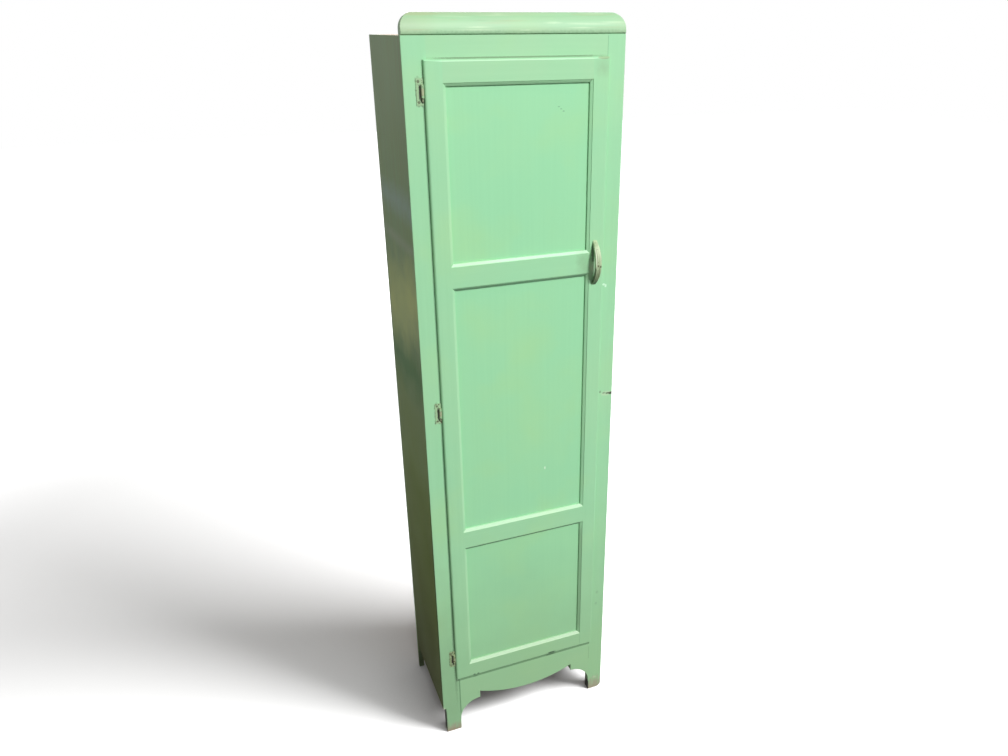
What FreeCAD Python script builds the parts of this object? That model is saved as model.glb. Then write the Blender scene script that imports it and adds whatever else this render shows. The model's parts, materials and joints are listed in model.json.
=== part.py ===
import FreeCAD, Part
import os

# Bonnetiere: a narrow cupboard of painted softwood with one tall panelled door, in millimetres.
# X runs to the right, Y to the back and Z up. The origin is on the floor, in the middle of the
# box that holds the whole cupboard with its door handle.

# ---- driving dimensions: carcass ------------------------------------------------------------
cabinet_height = 1800.0
cabinet_width = 475.0
cabinet_depth = 284.0            # from the front frame's face to the back board's rear face
frame_thickness = 20.0           # boards of the front frame
stile_width = 40.5
sheet_thickness = 8.0            # side sheets
back_thickness = 10.0
cornice_height = 40.0
cornice_corner_radius = 28.0     # rounded ends of the cornice, seen from the front
cornice_roll_depth = 18.0        # how far the cornice's rounded face leans back up to its top
cornice_edge_radius = 5.0        # between the rounded face and the top
cornice_end_inset = 2.0          # left end of the cornice, behind the side sheet's face
quirk_height = 1.8               # shadow groove under the cornice
quirk_depth = 2.5
frame_rail_height = 49.0
sill_height = 188.0              # top edge of the apron
sheet_rise = 85.0                # gap between the floor and the side sheets
arris_radius = 1.5               # worn edges of the front frame
foot_corner_radius = 15.0        # worn outer corner of the right foot
frame_tenon_length = 25.0

# Lower edge of the apron: a hanging middle lobe, a small step and a hollow quarter round.
lobe_half_width = 136.0
lobe_low_height = 86.0
lobe_end_height = 114.0
hollow_start_height = 92.0

# Feet of the back board: narrow posts under a hollow quarter round.
back_foot_width = 14.0
back_hollow_radius = 55.0

# ---- driving dimensions: inside -------------------------------------------------------------
board_thickness = 16.0           # top and bottom boards
shelf_thickness = 15.0
shelf_count = 4
shelf_front_gap = 2.0            # from the front frame to the shelves
batten_size = 20.0               # square corner battens
cleat_height = 20.0
cleat_width = 15.0
notch_clearance = 1.0            # around the battens, where shelves are cut out for them

# ---- driving dimensions: door ---------------------------------------------------------------
door_thickness = 20.0
door_proud = 7.5                 # face of the door in front of the frame
lip_gap = 0.8                    # between the door's lip and the frame
door_lip_left = 8.0              # lip over the frame on each side of the opening
door_lip_right = 2.5
door_lip_bottom = 7.0
door_lip_top = 7.0
body_clearance = 3.0             # around the door's rebated body, in the opening
door_edge_radius = 5.0
door_stile_width = 36.9
bottom_rail_width = 44.5
lower_rail_width = 46.5
upper_rail_width = 47.0
top_rail_width = 43.0
bottom_panel_opening = 370.0
top_panel_opening = 365.0
sticking_width = 6.0             # moulded inner edge of the frame around each panel
sticking_step = 1.2              # small step down from the face to the moulding
bevel_depth = 4.0                # from the face to the moulding's inner edge
panel_recess = 8.0
panel_thickness = 6.0
groove_bite = 3.0                # depth of the panel groove behind the sticking
panel_clearance = 1.0            # room for the panel to swell in its groove
panel_play = 0.1                 # between panel and groove walls
door_tenon_length = 22.0
tenon_thickness = 7.0
tenon_inset = 9.0                # shoulder above and below each tenon
tenon_play = 0.15

# ---- driving dimensions: hinges -------------------------------------------------------------
leaf_height = 50.0
leaf_width = 14.0
leaf_thickness = 1.2
barrel_length = 26.0
middle_knuckle_length = 13.0
knuckle_radius = 2.9
pin_radius = 1.6
fixed_fit = 0.03                 # pin in the frame leaf's knuckles
running_fit = 0.06               # pin in the door leaf's knuckle
knuckle_gap = 0.2                # between neighbouring knuckles
barrel_gap = 0.3                 # between the barrel and the frame
barrel_side_gap = 0.5            # between the barrel and the door's edge
leaf_edge_gap = 1.2              # between the frame leaf and the door's edge
finial_radius = 1.9
cap_height = 1.0
collar_height = 0.8              # plain pin between the barrel and its acorn
acorn_height = 5.4               # from the barrel to the tip of the turned acorn
acorn_tip_radius = 0.8
hinge_below_top = 58.0           # middle of the top hinge under the door's top edge
hinge_above_bottom = 70.0
middle_hinge_height = 972.0
back_leaf_width = 22.0           # cranked leaf on the back of the door
leaf_seat_play = 0.2
leaf_bend_radius = 1.0

# ---- driving dimensions: screws and nails ---------------------------------------------------
screw_radius = 1.5
screw_head_radius = 2.9
screw_head_depth = 1.2
screw_length = 14.0
screw_play = 0.1
frame_screw_spacing = 38.0
door_screw_spacing = 34.0
nail_radius = 1.1                # lost-head nails, driven flush
nail_length = 26.0
nail_rows = 5
nail_end_margin = 90.0

# ---- driving dimensions: handle -------------------------------------------------------------
handle_length = 103.0
handle_reach = 25.0
handle_grip_thickness = 6.0
handle_foot_length = 10.5
handle_middle_width = 15.0
handle_end_width = 9.0
handle_edge_chamfer = 2.0
handle_from_edge = 24.0          # from the door's right edge to the middle of the handle
handle_height = 1286.0
handle_screw_inset = 6.0         # from the end of the handle to its screw
handle_screw_bite = 5.0          # depth of the screw in the handle's foot

# ---- driving dimensions: magnetic catch -----------------------------------------------------
catch_width = 34.0
catch_height = 13.0
catch_depth = 22.0
catch_shelf = 3                  # the shelf that carries the catch, counted from below
pole_thickness = 1.5
pole_width = 24.0
pole_spacing = 5.0
pole_proud = 0.8
pole_length = 12.0
strike_gap = 0.4                 # between the poles and the strike plate of the closed door
strike_margin = 1.5              # stile that shows on each side of the strike plate
strike_height = 12.0
strike_screw_inset = 5.0         # from the plate's inner edge to its screw
strike_thickness = 1.2
catch_screw_spacing = 26.0
catch_screw_bite = 9.0
catch_screw_from_back = 5.5      # from the rear of the case to its screws

widest_round = 0.8               # most of a thickness that a rounded edge may take

# ---- planes worked out from the sizes above -------------------------------------------------
half_width = cabinet_width / 2
back_y = (cabinet_depth + door_proud + handle_reach) / 2
front_y = back_y - cabinet_depth
frame_back_y = front_y + frame_thickness
back_front_y = back_y - back_thickness
frame_top = cabinet_height - cornice_height
frame_left = -half_width + sheet_thickness       # the left sheet laps over the left stile
opening_left = frame_left + stile_width
opening_right = half_width - stile_width
opening_top = frame_top - frame_rail_height
opening_middle = (opening_left + opening_right) / 2
inner_half = half_width - sheet_thickness
batten_front_y = back_front_y - batten_size
board_underside = frame_top - board_thickness
floor_board_underside = sill_height - board_thickness

door_left = opening_left - door_lip_left
door_right = opening_right + door_lip_right
door_bottom = sill_height - door_lip_bottom
door_top = opening_top + door_lip_top
door_face_y = front_y - door_proud
door_back_y = door_face_y + door_thickness
lip_back_y = front_y - lip_gap
body_left = opening_left + body_clearance
body_right = opening_right - body_clearance
body_bottom = sill_height + body_clearance
body_top = opening_top - body_clearance
shoulder_left = door_left + door_stile_width
shoulder_right = door_right - door_stile_width
panel_front_y = door_face_y + panel_recess
panel_back_y = panel_front_y + panel_thickness
tenon_front_y = (panel_front_y + panel_back_y - tenon_thickness) / 2

pin_x = door_left - barrel_side_gap - knuckle_radius
pin_y = front_y - barrel_gap - knuckle_radius
wing_back_y = front_y - barrel_gap
wing_front_y = wing_back_y - leaf_thickness
leaf_right = door_left - leaf_edge_gap
leaf_left = leaf_right - leaf_width
handle_x = door_right - handle_from_edge
handle_screw_offset = handle_length / 2 - handle_screw_inset

Vector = FreeCAD.Vector
AXES = {"x": Vector(1, 0, 0), "y": Vector(0, 1, 0), "z": Vector(0, 0, 1)}
nodes = {}


# ---- small helpers --------------------------------------------------------------------------
def block(x0, x1, y0, y1, z0, z1):
    """A board with its faces on these planes."""
    return Part.makeBox(x1 - x0, y1 - y0, z1 - z0, Vector(x0, y0, z0))


def line(start, end):
    return Part.LineSegment(start, end).toShape()


def arc(start, middle, end):
    return Part.Arc(start, middle, end).toShape()


def arc_about(centre, start, end):
    """The shorter arc about this centre from start to end."""
    bisector = (start - centre) + (end - centre)
    bisector.normalize()
    return arc(start, centre + bisector * (start - centre).Length, end)


def quarter(centre, radius, start_degrees, plane_y):
    """Three points of a quarter circle in the front plane, turning to the left from its start."""
    points = []
    for turn in (0, 45, 90):
        spoke = FreeCAD.Rotation(Vector(0, -1, 0), start_degrees + turn).multVec(Vector(radius, 0, 0))
        points.append(Vector(centre[0], plane_y, centre[1]) + spoke)
    return points


def board_from(edges, direction):
    """A board whose outline is this closed chain of edges."""
    return Part.Face(Part.Wire(edges)).extrude(direction)


def joined(*solids):
    whole = solids[0].multiFuse(list(solids[1:]))
    return whole.removeSplitter()


def drilled(solid, tools):
    """The solid with every tool's shape taken out."""
    return solid.cut(list(tools)).removeSplitter()


def edges_where(solid, test):
    """The straight or curved edges whose middle point passes the test."""
    return [edge for edge in solid.Edges if test(edge.CenterOfMass)]


def edges_through(solid, points):
    """The edges that pass through any of these points."""
    return [edge for edge in solid.Edges
            if any(edge.distToShape(Part.Vertex(point))[0] < 1e-3 for point in points)]


def same(first, second):
    return abs(first - second) < 1e-4


def turned_part(profile, origin, direction):
    """A part turned on the lathe: profile lists (radius, distance along the axis)."""
    points = [Vector(radius, 0, along) for radius, along in profile]
    wire = Part.makePolygon(points + [points[0]])
    solid = Part.Face(wire).revolve(Vector(0, 0, 0), AXES["z"], 360)
    rotation = FreeCAD.Rotation(AXES["z"], direction)
    solid.Placement = FreeCAD.Placement(origin, rotation)
    return solid


def countersunk_screw(origin, direction, length, play=0.0):
    """A wood screw from the face of its head; play swells it into the hole that holds it."""
    profile = [
        (0, -play),
        (screw_head_radius + play, -play),
        (screw_radius + play, screw_head_depth),
        (screw_radius + play, length + play),
        (0, length + play),
    ]
    return turned_part(profile, origin, direction)


def export(name, *solids):
    """Keep a node: one solid, or a group of like solids."""
    nodes[name] = solids[0] if len(solids) == 1 else Part.makeCompound(list(solids))


# ---- front frame ----------------------------------------------------------------------------
def frame_tenon(side, z0, z1, play=0.0):
    """Tenon of a frame rail in a stile, or with play the mortise that takes it."""
    start = opening_left if side < 0 else opening_right
    end = start + side * (frame_tenon_length + play)
    middle_y = (front_y + frame_back_y) / 2
    half = tenon_thickness / 2 + play
    return block(min(start, end), max(start, end), middle_y - half, middle_y + half, z0 - play, z1 + play)


def frame_rails():
    """Top rail and apron, with their tenons."""
    rail_tenon = (opening_top + tenon_inset, frame_top - tenon_inset)
    apron_tenon = (hollow_start_height + tenon_inset, sill_height - tenon_inset)
    rail = block(opening_left, opening_right, front_y, frame_back_y, opening_top, frame_top)

    left_step = opening_middle - lobe_half_width
    right_step = opening_middle + lobe_half_width
    hollow_radius = left_step - opening_left
    hollow_low = hollow_start_height - hollow_radius
    left_hollow = quarter((left_step, hollow_low), hollow_radius, 90, front_y)
    right_hollow = quarter((right_step, hollow_low), hollow_radius, 0, front_y)
    lobe = [
        Vector(left_step, front_y, lobe_end_height),
        Vector(opening_middle, front_y, lobe_low_height),
        Vector(right_step, front_y, lobe_end_height),
    ]
    top_left = Vector(opening_left, front_y, sill_height)
    top_right = Vector(opening_right, front_y, sill_height)
    outline = [
        line(top_left, left_hollow[2]),
        arc(left_hollow[2], left_hollow[1], left_hollow[0]),
        line(left_hollow[0], lobe[0]),
        arc(*lobe),
        line(lobe[2], right_hollow[2]),
        arc(right_hollow[2], right_hollow[1], right_hollow[0]),
        line(right_hollow[0], top_right),
        line(top_right, top_left),
    ]
    apron = board_from(outline, Vector(0, frame_thickness, 0))
    rail = joined(rail, frame_tenon(-1, *rail_tenon), frame_tenon(1, *rail_tenon))
    apron = joined(apron, frame_tenon(-1, *apron_tenon), frame_tenon(1, *apron_tenon))
    return rail, apron, (rail_tenon, apron_tenon)


def front_stiles(tenon_heights, screw_holes):
    """The two long boards that end as the front feet."""
    left = block(frame_left, opening_left, front_y, frame_back_y, 0, frame_top)
    right = block(opening_right, half_width, front_y, frame_back_y, 0, frame_top)
    left = drilled(left, [frame_tenon(-1, z0, z1, tenon_play) for z0, z1 in tenon_heights] + screw_holes)
    right = drilled(right, [frame_tenon(1, z0, z1, tenon_play) for z0, z1 in tenon_heights])
    foot_edge = edges_where(right, lambda p: same(p.x, half_width) and same(p.z, 0))
    right = right.makeFillet(foot_corner_radius, foot_edge)
    arris = edges_where(right, lambda p: same(p.x, half_width) and same(p.y, front_y))
    right = right.makeFillet(arris_radius, arris)
    return left, right


def cornice_board():
    """A board with a rounded face that leans back to its top, then rounded at both ends."""
    left = -half_width + cornice_end_inset
    back = frame_back_y
    low = frame_top + quirk_height
    depth = cornice_roll_depth
    edge = cornice_edge_radius
    rise = cabinet_height - low - edge
    # The face's round starts upright and runs smoothly into the round of the top edge.
    face_radius = (rise ** 2 + depth ** 2 - edge ** 2) / (2 * (depth - edge))
    face_centre = Vector(left, front_y + face_radius, low)
    edge_centre = Vector(left, front_y + depth, cabinet_height - edge)
    spoke = edge_centre - face_centre
    spoke.normalize()
    low_front = Vector(left, front_y, low)
    rounds_meet = edge_centre + spoke * edge
    roll_end = edge_centre + AXES["z"] * edge
    top_back = Vector(left, back, cabinet_height)
    low_back = Vector(left, back, frame_top)
    quirk_low = Vector(left, front_y + quirk_depth, frame_top)
    quirk_high = Vector(left, front_y + quirk_depth, low)
    moulding = board_from(
        [
            arc_about(face_centre, low_front, rounds_meet),
            arc_about(edge_centre, rounds_meet, roll_end),
            line(roll_end, top_back),
            line(top_back, low_back),
            line(low_back, quirk_low),
            line(quirk_low, quirk_high),
            line(quirk_high, low_front),
        ],
        Vector(half_width - left, 0, 0),
    )
    ends = block(left, half_width, front_y, back, frame_top, cabinet_height)
    corners = edges_where(ends, lambda p: (same(p.x, left) or same(p.x, half_width))
                          and same(p.z, cabinet_height) and same(p.y, (front_y + back) / 2))
    return moulding.common(ends.makeFillet(cornice_corner_radius, corners)).removeSplitter()


# ---- sheets, boards and battens -------------------------------------------------------------
def side_sheet(side):
    """The left sheet laps over its stile and shows its edge; the right one stops behind its stile."""
    outer = side * half_width
    inner = side * inner_half
    start = front_y if side < 0 else frame_back_y
    sheet = block(min(outer, inner), max(outer, inner), start, back_front_y, sheet_rise, frame_top)
    if side < 0:
        arris = edges_where(sheet, lambda p: same(p.x, outer) and same(p.y, front_y))
        sheet = sheet.makeFillet(arris_radius, arris)
    return sheet


def back_board(nail_holes):
    """One board, cut away below between two narrow feet."""
    left_in = -half_width + back_foot_width
    right_in = half_width - back_foot_width
    low = sheet_rise - back_hollow_radius
    left_hollow = quarter((left_in + back_hollow_radius, low), back_hollow_radius, 90, back_front_y)
    right_hollow = quarter((right_in - back_hollow_radius, low), back_hollow_radius, 0, back_front_y)
    corners = [
        Vector(right_in, back_front_y, 0),
        Vector(half_width, back_front_y, 0),
        Vector(half_width, back_front_y, frame_top),
        Vector(-half_width, back_front_y, frame_top),
        Vector(-half_width, back_front_y, 0),
        Vector(left_in, back_front_y, 0),
    ]
    outline = [line(start, end) for start, end in zip(corners, corners[1:])]
    outline += [
        line(corners[-1], left_hollow[2]),
        arc(left_hollow[2], left_hollow[1], left_hollow[0]),
        line(left_hollow[0], right_hollow[2]),
        arc(right_hollow[2], right_hollow[1], right_hollow[0]),
        line(right_hollow[0], corners[0]),
    ]
    return drilled(board_from(outline, Vector(0, back_thickness, 0)), nail_holes)


def corner_batten(side, y0):
    outer = side * inner_half
    inner = side * (inner_half - batten_size)
    return block(min(outer, inner), max(outer, inner), y0, y0 + batten_size, sheet_rise, board_underside)


def level_board(z0, thickness, start_y, play):
    """A top, bottom or shelf: it spans the cupboard and is notched round the battens."""
    board = block(-inner_half + play, inner_half - play, start_y, back_front_y, z0, z0 + thickness)
    reach = batten_size + notch_clearance
    notches = []
    for side, y0, y1 in ((-1, batten_front_y - notch_clearance, back_y),
                         (1, batten_front_y - notch_clearance, back_y),
                         (1, front_y, frame_back_y + reach)):
        inner = side * (inner_half - reach)
        outer = side * half_width
        notches.append(block(min(inner, outer), max(inner, outer), y0, y1, z0, z0 + thickness))
    return drilled(board, notches)


def cleat(side, top):
    """A bearer under a board's end, between the corner battens."""
    outer = side * inner_half
    inner = side * (inner_half - cleat_width)
    start = frame_back_y if side < 0 else frame_back_y + batten_size
    return block(min(outer, inner), max(outer, inner), start, batten_front_y, top - cleat_height, top)


def shelf_undersides():
    """Shelves share the room between the bottom and top boards evenly."""
    room = board_underside - sill_height - shelf_count * shelf_thickness
    pitch = room / (shelf_count + 1) + shelf_thickness
    first = sill_height + room / (shelf_count + 1)
    return [first + pitch * index for index in range(shelf_count)]


def back_nail(side, z):
    """A nail driven through the back board into its batten."""
    start = Vector(side * (inner_half - batten_size / 2), back_y, z)
    return Part.makeCylinder(nail_radius, nail_length, start, Vector(0, -1, 0))


def nail_places():
    low = sheet_rise + nail_end_margin
    high = frame_top - nail_end_margin
    step = (high - low) / (nail_rows - 1)
    return [(side, low + step * row) for side in (-1, 1) for row in range(nail_rows)]


# ---- door -----------------------------------------------------------------------------------
def door_blank():
    """The whole door's outer form: a rounded lip in front, the rebated body behind it."""
    lip = block(door_left, door_right, door_face_y, lip_back_y, door_bottom, door_top)
    radius = min(door_edge_radius, widest_round * (lip_back_y - door_face_y))
    lip = lip.makeFillet(radius, edges_where(lip, lambda p: same(p.y, door_face_y)))
    body = block(body_left, body_right, lip_back_y, door_back_y, body_bottom, body_top)
    return joined(lip, body)


def panel_openings():
    """Height ranges of the three openings; the middle one takes what the others leave."""
    bottom_low = door_bottom + bottom_rail_width
    bottom_high = bottom_low + bottom_panel_opening
    top_high = door_top - top_rail_width
    top_low = top_high - top_panel_opening
    middle = (bottom_high + lower_rail_width, top_low - upper_rail_width)
    return {"bottom": (bottom_low, bottom_high), "middle": middle, "top": (top_low, top_high)}


def sticking(z0, z1):
    """The moulded edge round one opening, mitred into left, right, bottom and top pieces."""
    step_y = door_face_y + sticking_step
    ring = block(shoulder_left, shoulder_right, step_y, door_back_y, z0, z1)
    in_left = shoulder_left + sticking_width
    in_right = shoulder_right - sticking_width
    in_low = z0 + sticking_width
    in_high = z1 - sticking_width
    hole = block(in_left, in_right, door_face_y, door_back_y, in_low, in_high)

    def rectangle(x0, x1, y, low, high):
        return Part.makePolygon([Vector(x0, y, low), Vector(x1, y, low), Vector(x1, y, high),
                                 Vector(x0, y, high), Vector(x0, y, low)])

    bevel = Part.makeLoft(
        [rectangle(shoulder_left, shoulder_right, step_y, z0, z1),
         rectangle(in_left, in_right, door_face_y + bevel_depth, in_low, in_high)],
        True, True)
    ring = drilled(ring, [hole, bevel])
    corners = {
        "left": ((shoulder_left, z0), (in_left, in_low), (in_left, in_high), (shoulder_left, z1)),
        "right": ((shoulder_right, z0), (shoulder_right, z1), (in_right, in_high), (in_right, in_low)),
        "low": ((shoulder_left, z0), (shoulder_right, z0), (in_right, in_low), (in_left, in_low)),
        "high": ((shoulder_left, z1), (in_left, in_high), (in_right, in_high), (shoulder_right, z1)),
    }
    pieces = {}
    for name, outline in corners.items():
        points = [Vector(x, door_face_y, z) for x, z in outline]
        prism = Part.Face(Part.makePolygon(points + [points[0]])).extrude(Vector(0, door_thickness, 0))
        pieces[name] = ring.common(prism)
    return pieces


def panel_groove(z0, z1):
    """The room for a panel in its groove, right round one opening."""
    return block(shoulder_left - groove_bite, shoulder_right + groove_bite,
                 panel_front_y - panel_play, panel_back_y + panel_play, z0 - groove_bite, z1 + groove_bite)


def door_panel(z0, z1):
    reach = groove_bite - panel_clearance
    return block(shoulder_left - reach, shoulder_right + reach, panel_front_y, panel_back_y,
                 z0 - reach, z1 + reach)


def door_tenon(side, z0, z1, play=0.0):
    """Tenon of a door rail in a door stile, or with play its mortise."""
    start = shoulder_left if side < 0 else shoulder_right
    end = start + side * (door_tenon_length + play)
    return block(min(start, end), max(start, end), tenon_front_y - play,
                 tenon_front_y + tenon_thickness + play, z0 + tenon_inset - play, z1 - tenon_inset + play)


def door_frame(stile_cuts_left, stile_cuts_right):
    """Stiles and rails cut from the blank, each with its own lengths of sticking."""
    blank = door_blank()
    openings = panel_openings()
    moulded = {name: sticking(*span) for name, span in openings.items()}
    grooves = [panel_groove(*span) for span in openings.values()]
    rails = {
        "door_rail_bottom": (door_bottom, openings["bottom"][0], None, "bottom"),
        "door_rail_lower": (openings["bottom"][1], openings["middle"][0], "bottom", "middle"),
        "door_rail_upper": (openings["middle"][1], openings["top"][0], "middle", "top"),
        "door_rail_top": (openings["top"][1], door_top, "top", None),
    }
    tenon_spans = [(max(z0, body_bottom), min(z1, body_top)) for z0, z1, _, _ in rails.values()]
    members = {}
    for name, (z0, z1, below, above) in rails.items():
        core = blank.common(block(shoulder_left, shoulder_right, door_face_y, door_back_y, z0, z1))
        strips = []
        if below:
            strips.append(moulded[below]["high"])
        if above:
            strips.append(moulded[above]["low"])
        rail = drilled(joined(core, *strips), grooves)
        span = (max(z0, body_bottom), min(z1, body_top))
        members[name] = joined(rail, door_tenon(-1, *span), door_tenon(1, *span))
    for name, side, x0, x1, strip, cuts in (
        ("door_stile_left", -1, door_left, shoulder_left, "left", stile_cuts_left),
        ("door_stile_right", 1, shoulder_right, door_right, "right", stile_cuts_right),
    ):
        core = blank.common(block(x0, x1, door_face_y, door_back_y, door_bottom, door_top))
        strips = [pieces[strip] for pieces in moulded.values()]
        mortises = [door_tenon(side, *span, tenon_play) for span in tenon_spans]
        members[name] = drilled(joined(core, *strips), grooves + mortises + cuts)
    for name, span in openings.items():
        members["door_panel_" + name] = door_panel(*span)
    return members


# ---- hinges ---------------------------------------------------------------------------------
def knuckle(z0, z1, fit):
    """One rolled knuckle, bored for the pin."""
    length = z1 - z0
    base = Vector(pin_x, pin_y, z0)
    outside = Part.makeCylinder(knuckle_radius, length, base)
    return outside.cut(Part.makeCylinder(pin_radius + fit, length, base))


def frame_leaf(z, holes):
    """Leaf on the face of the stile, with the outer knuckles and a gap for the middle one."""
    half = leaf_height / 2
    half_barrel = barrel_length / 2
    half_middle = middle_knuckle_length / 2 + knuckle_gap
    plate = block(leaf_left, leaf_right, front_y - leaf_thickness, front_y, z - half, z + half)
    gap_left = pin_x - knuckle_radius - barrel_side_gap
    gap = block(gap_left, leaf_right, front_y - leaf_thickness, front_y, z - half_middle, z + half_middle)
    lower = knuckle(z - half_barrel, z - half_middle, fixed_fit)
    upper = knuckle(z + half_middle, z + half_barrel, fixed_fit)
    return drilled(joined(plate.cut(gap), lower, upper), holes)


def door_leaf(z, holes):
    """Leaf that runs from the middle knuckle behind the lip, back along the door and on to its rear."""
    half = leaf_height / 2
    half_middle = middle_knuckle_length / 2
    seat_left = door_left + barrel_side_gap
    strap = block(pin_x, seat_left, wing_front_y, wing_back_y, z - half_middle, z + half_middle)
    behind_lip = block(seat_left, body_left, wing_front_y, wing_back_y, z - half, z + half)
    rear_y = door_back_y + leaf_thickness
    along_body = block(body_left - leaf_thickness, body_left, wing_front_y, rear_y, z - half, z + half)
    on_back = block(body_left - leaf_thickness, body_left + back_leaf_width, door_back_y, rear_y,
                    z - half, z + half)
    leaf = joined(behind_lip, along_body, on_back)
    bend = edges_where(leaf, lambda p: same(p.x, body_left - leaf_thickness) and same(p.y, rear_y))
    leaf = leaf.makeFillet(min(leaf_bend_radius, widest_round * leaf_thickness), bend)
    rolled = knuckle(z - half_middle, z + half_middle, running_fit)
    base = Vector(pin_x, pin_y, z - half_middle)
    strap = strap.cut(Part.makeCylinder(knuckle_radius, middle_knuckle_length, base))
    return drilled(joined(leaf, strap, rolled), holes)


def hinge_pin(z):
    """Pin with a peened cap on top and a turned acorn below."""
    top = barrel_length / 2
    base = -top
    profile = [
        (0, top + cap_height),
        (finial_radius, top + cap_height),
        (finial_radius, top),
        (pin_radius, top),
        (pin_radius, base - collar_height),
        (finial_radius, base - collar_height),
        (acorn_tip_radius, base - acorn_height),
        (0, base - acorn_height),
    ]
    return turned_part(profile, Vector(pin_x, pin_y, z), AXES["z"])


def seat_in_lip(z):
    """Shallow seat for the leaf in the back of the door's lip."""
    half = leaf_height / 2 + leaf_seat_play
    return block(door_left, body_left, wing_front_y, lip_back_y, z - half, z + half)


hinge_heights = {
    "top": door_top - hinge_below_top,
    "middle": middle_hinge_height,
    "bottom": door_bottom + hinge_above_bottom,
}
frame_screw_x = (leaf_left + pin_x - knuckle_radius) / 2
door_screw_x = body_left + back_leaf_width / 2


def frame_leaf_screws(z, play=0.0):
    face = front_y - leaf_thickness
    return [countersunk_screw(Vector(frame_screw_x, face, z + side * frame_screw_spacing / 2),
                              AXES["y"], screw_length, play) for side in (-1, 1)]


def door_leaf_screws(z, play=0.0):
    face = door_back_y + leaf_thickness
    return [countersunk_screw(Vector(door_screw_x, face, z + side * door_screw_spacing / 2),
                              Vector(0, -1, 0), screw_length, play) for side in (-1, 1)]


# ---- handle ---------------------------------------------------------------------------------
def door_handle(holes):
    """A bow pull: a crescent from the side, widest in the middle from the front."""
    half_length = handle_length / 2
    half_inner = half_length - handle_foot_length
    left = handle_x - handle_middle_width / 2

    def side_point(y, z):
        return Vector(left, door_face_y - y, handle_height + z)

    crescent = board_from(
        [
            arc(side_point(0, -half_length), side_point(handle_reach, 0), side_point(0, half_length)),
            line(side_point(0, half_length), side_point(0, half_inner)),
            arc(side_point(0, half_inner), side_point(handle_reach - handle_grip_thickness, 0),
                side_point(0, -half_inner)),
            line(side_point(0, -half_inner), side_point(0, -half_length)),
        ],
        Vector(handle_middle_width, 0, 0),
    )

    def front_point(x, z):
        return Vector(handle_x + x, door_face_y, handle_height + z)

    end = handle_end_width / 2
    middle = handle_middle_width / 2
    outline = board_from(
        [
            arc(front_point(-end, -half_length), front_point(-middle, 0), front_point(-end, half_length)),
            line(front_point(-end, half_length), front_point(end, half_length)),
            arc(front_point(end, half_length), front_point(middle, 0), front_point(end, -half_length)),
            line(front_point(end, -half_length), front_point(-end, -half_length)),
        ],
        Vector(0, -2 * handle_reach, 0),
    )
    bow = crescent.common(outline)
    crown = [Vector(handle_x + side * middle, door_face_y - handle_reach, handle_height) for side in (-1, 1)]
    bow = bow.makeChamfer(handle_edge_chamfer, edges_through(bow, crown))
    return drilled(bow, holes)


def handle_screw(side, play=0.0):
    """From the back of the door, flush with it, into the handle's foot."""
    place = Vector(handle_x, door_back_y, handle_height + side * handle_screw_offset)
    return countersunk_screw(place, Vector(0, -1, 0), door_thickness + handle_screw_bite, play)


# ---- catch ----------------------------------------------------------------------------------
strike_left = shoulder_right + strike_margin
strike_right = body_right - strike_margin
catch_x = (strike_left + strike_right) / 2
catch_top = shelf_undersides()[catch_shelf - 1]
catch_middle_z = catch_top - catch_height / 2
pole_front_y = door_back_y + strike_thickness + strike_gap
case_front_y = pole_front_y + pole_proud


def catch_poles():
    """Two steel plates that reach out of the case to the strike plate."""
    poles = []
    for side in (-1, 1):
        middle = catch_middle_z + side * pole_spacing / 2
        poles.append(block(catch_x - pole_width / 2, catch_x + pole_width / 2,
                           pole_front_y, pole_front_y + pole_length,
                           middle - pole_thickness / 2, middle + pole_thickness / 2))
    return poles


def catch_screw(side, play=0.0):
    """From the underside of the case up into the shelf."""
    place = Vector(catch_x + side * catch_screw_spacing / 2,
                   case_front_y + catch_depth - catch_screw_from_back, catch_top - catch_height)
    return countersunk_screw(place, AXES["z"], catch_height + catch_screw_bite, play)


def strike_screw(play=0.0):
    place = Vector(strike_left + strike_screw_inset, door_back_y + strike_thickness, catch_middle_z)
    return countersunk_screw(place, Vector(0, -1, 0), screw_length, play)


def catch_case():
    case = block(catch_x - catch_width / 2, catch_x + catch_width / 2, case_front_y,
                 case_front_y + catch_depth, catch_top - catch_height, catch_top)
    return drilled(case, catch_poles() + [catch_screw(side, screw_play) for side in (-1, 1)])


def strike_plate():
    plate = block(strike_left, strike_right, door_back_y, door_back_y + strike_thickness,
                  catch_middle_z - strike_height / 2, catch_middle_z + strike_height / 2)
    return drilled(plate, [strike_screw(screw_play)])


# ---- assembly -------------------------------------------------------------------------------
frame_holes = {place: frame_leaf_screws(z, screw_play) for place, z in hinge_heights.items()}
door_holes = {place: door_leaf_screws(z, screw_play) for place, z in hinge_heights.items()}
nails = [back_nail(side, z) for side, z in nail_places()]

top_rail, apron, tenon_heights = frame_rails()
left_stile, right_stile = front_stiles(tenon_heights, sum(frame_holes.values(), []))
export("front_stile_left", left_stile)
export("front_stile_right", right_stile)
export("front_top_rail", top_rail)
export("front_apron", apron)
export("cornice", cornice_board())
export("side_sheet_left", side_sheet(-1))
export("side_sheet_right", side_sheet(1))
export("back_board", back_board(nails))

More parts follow.
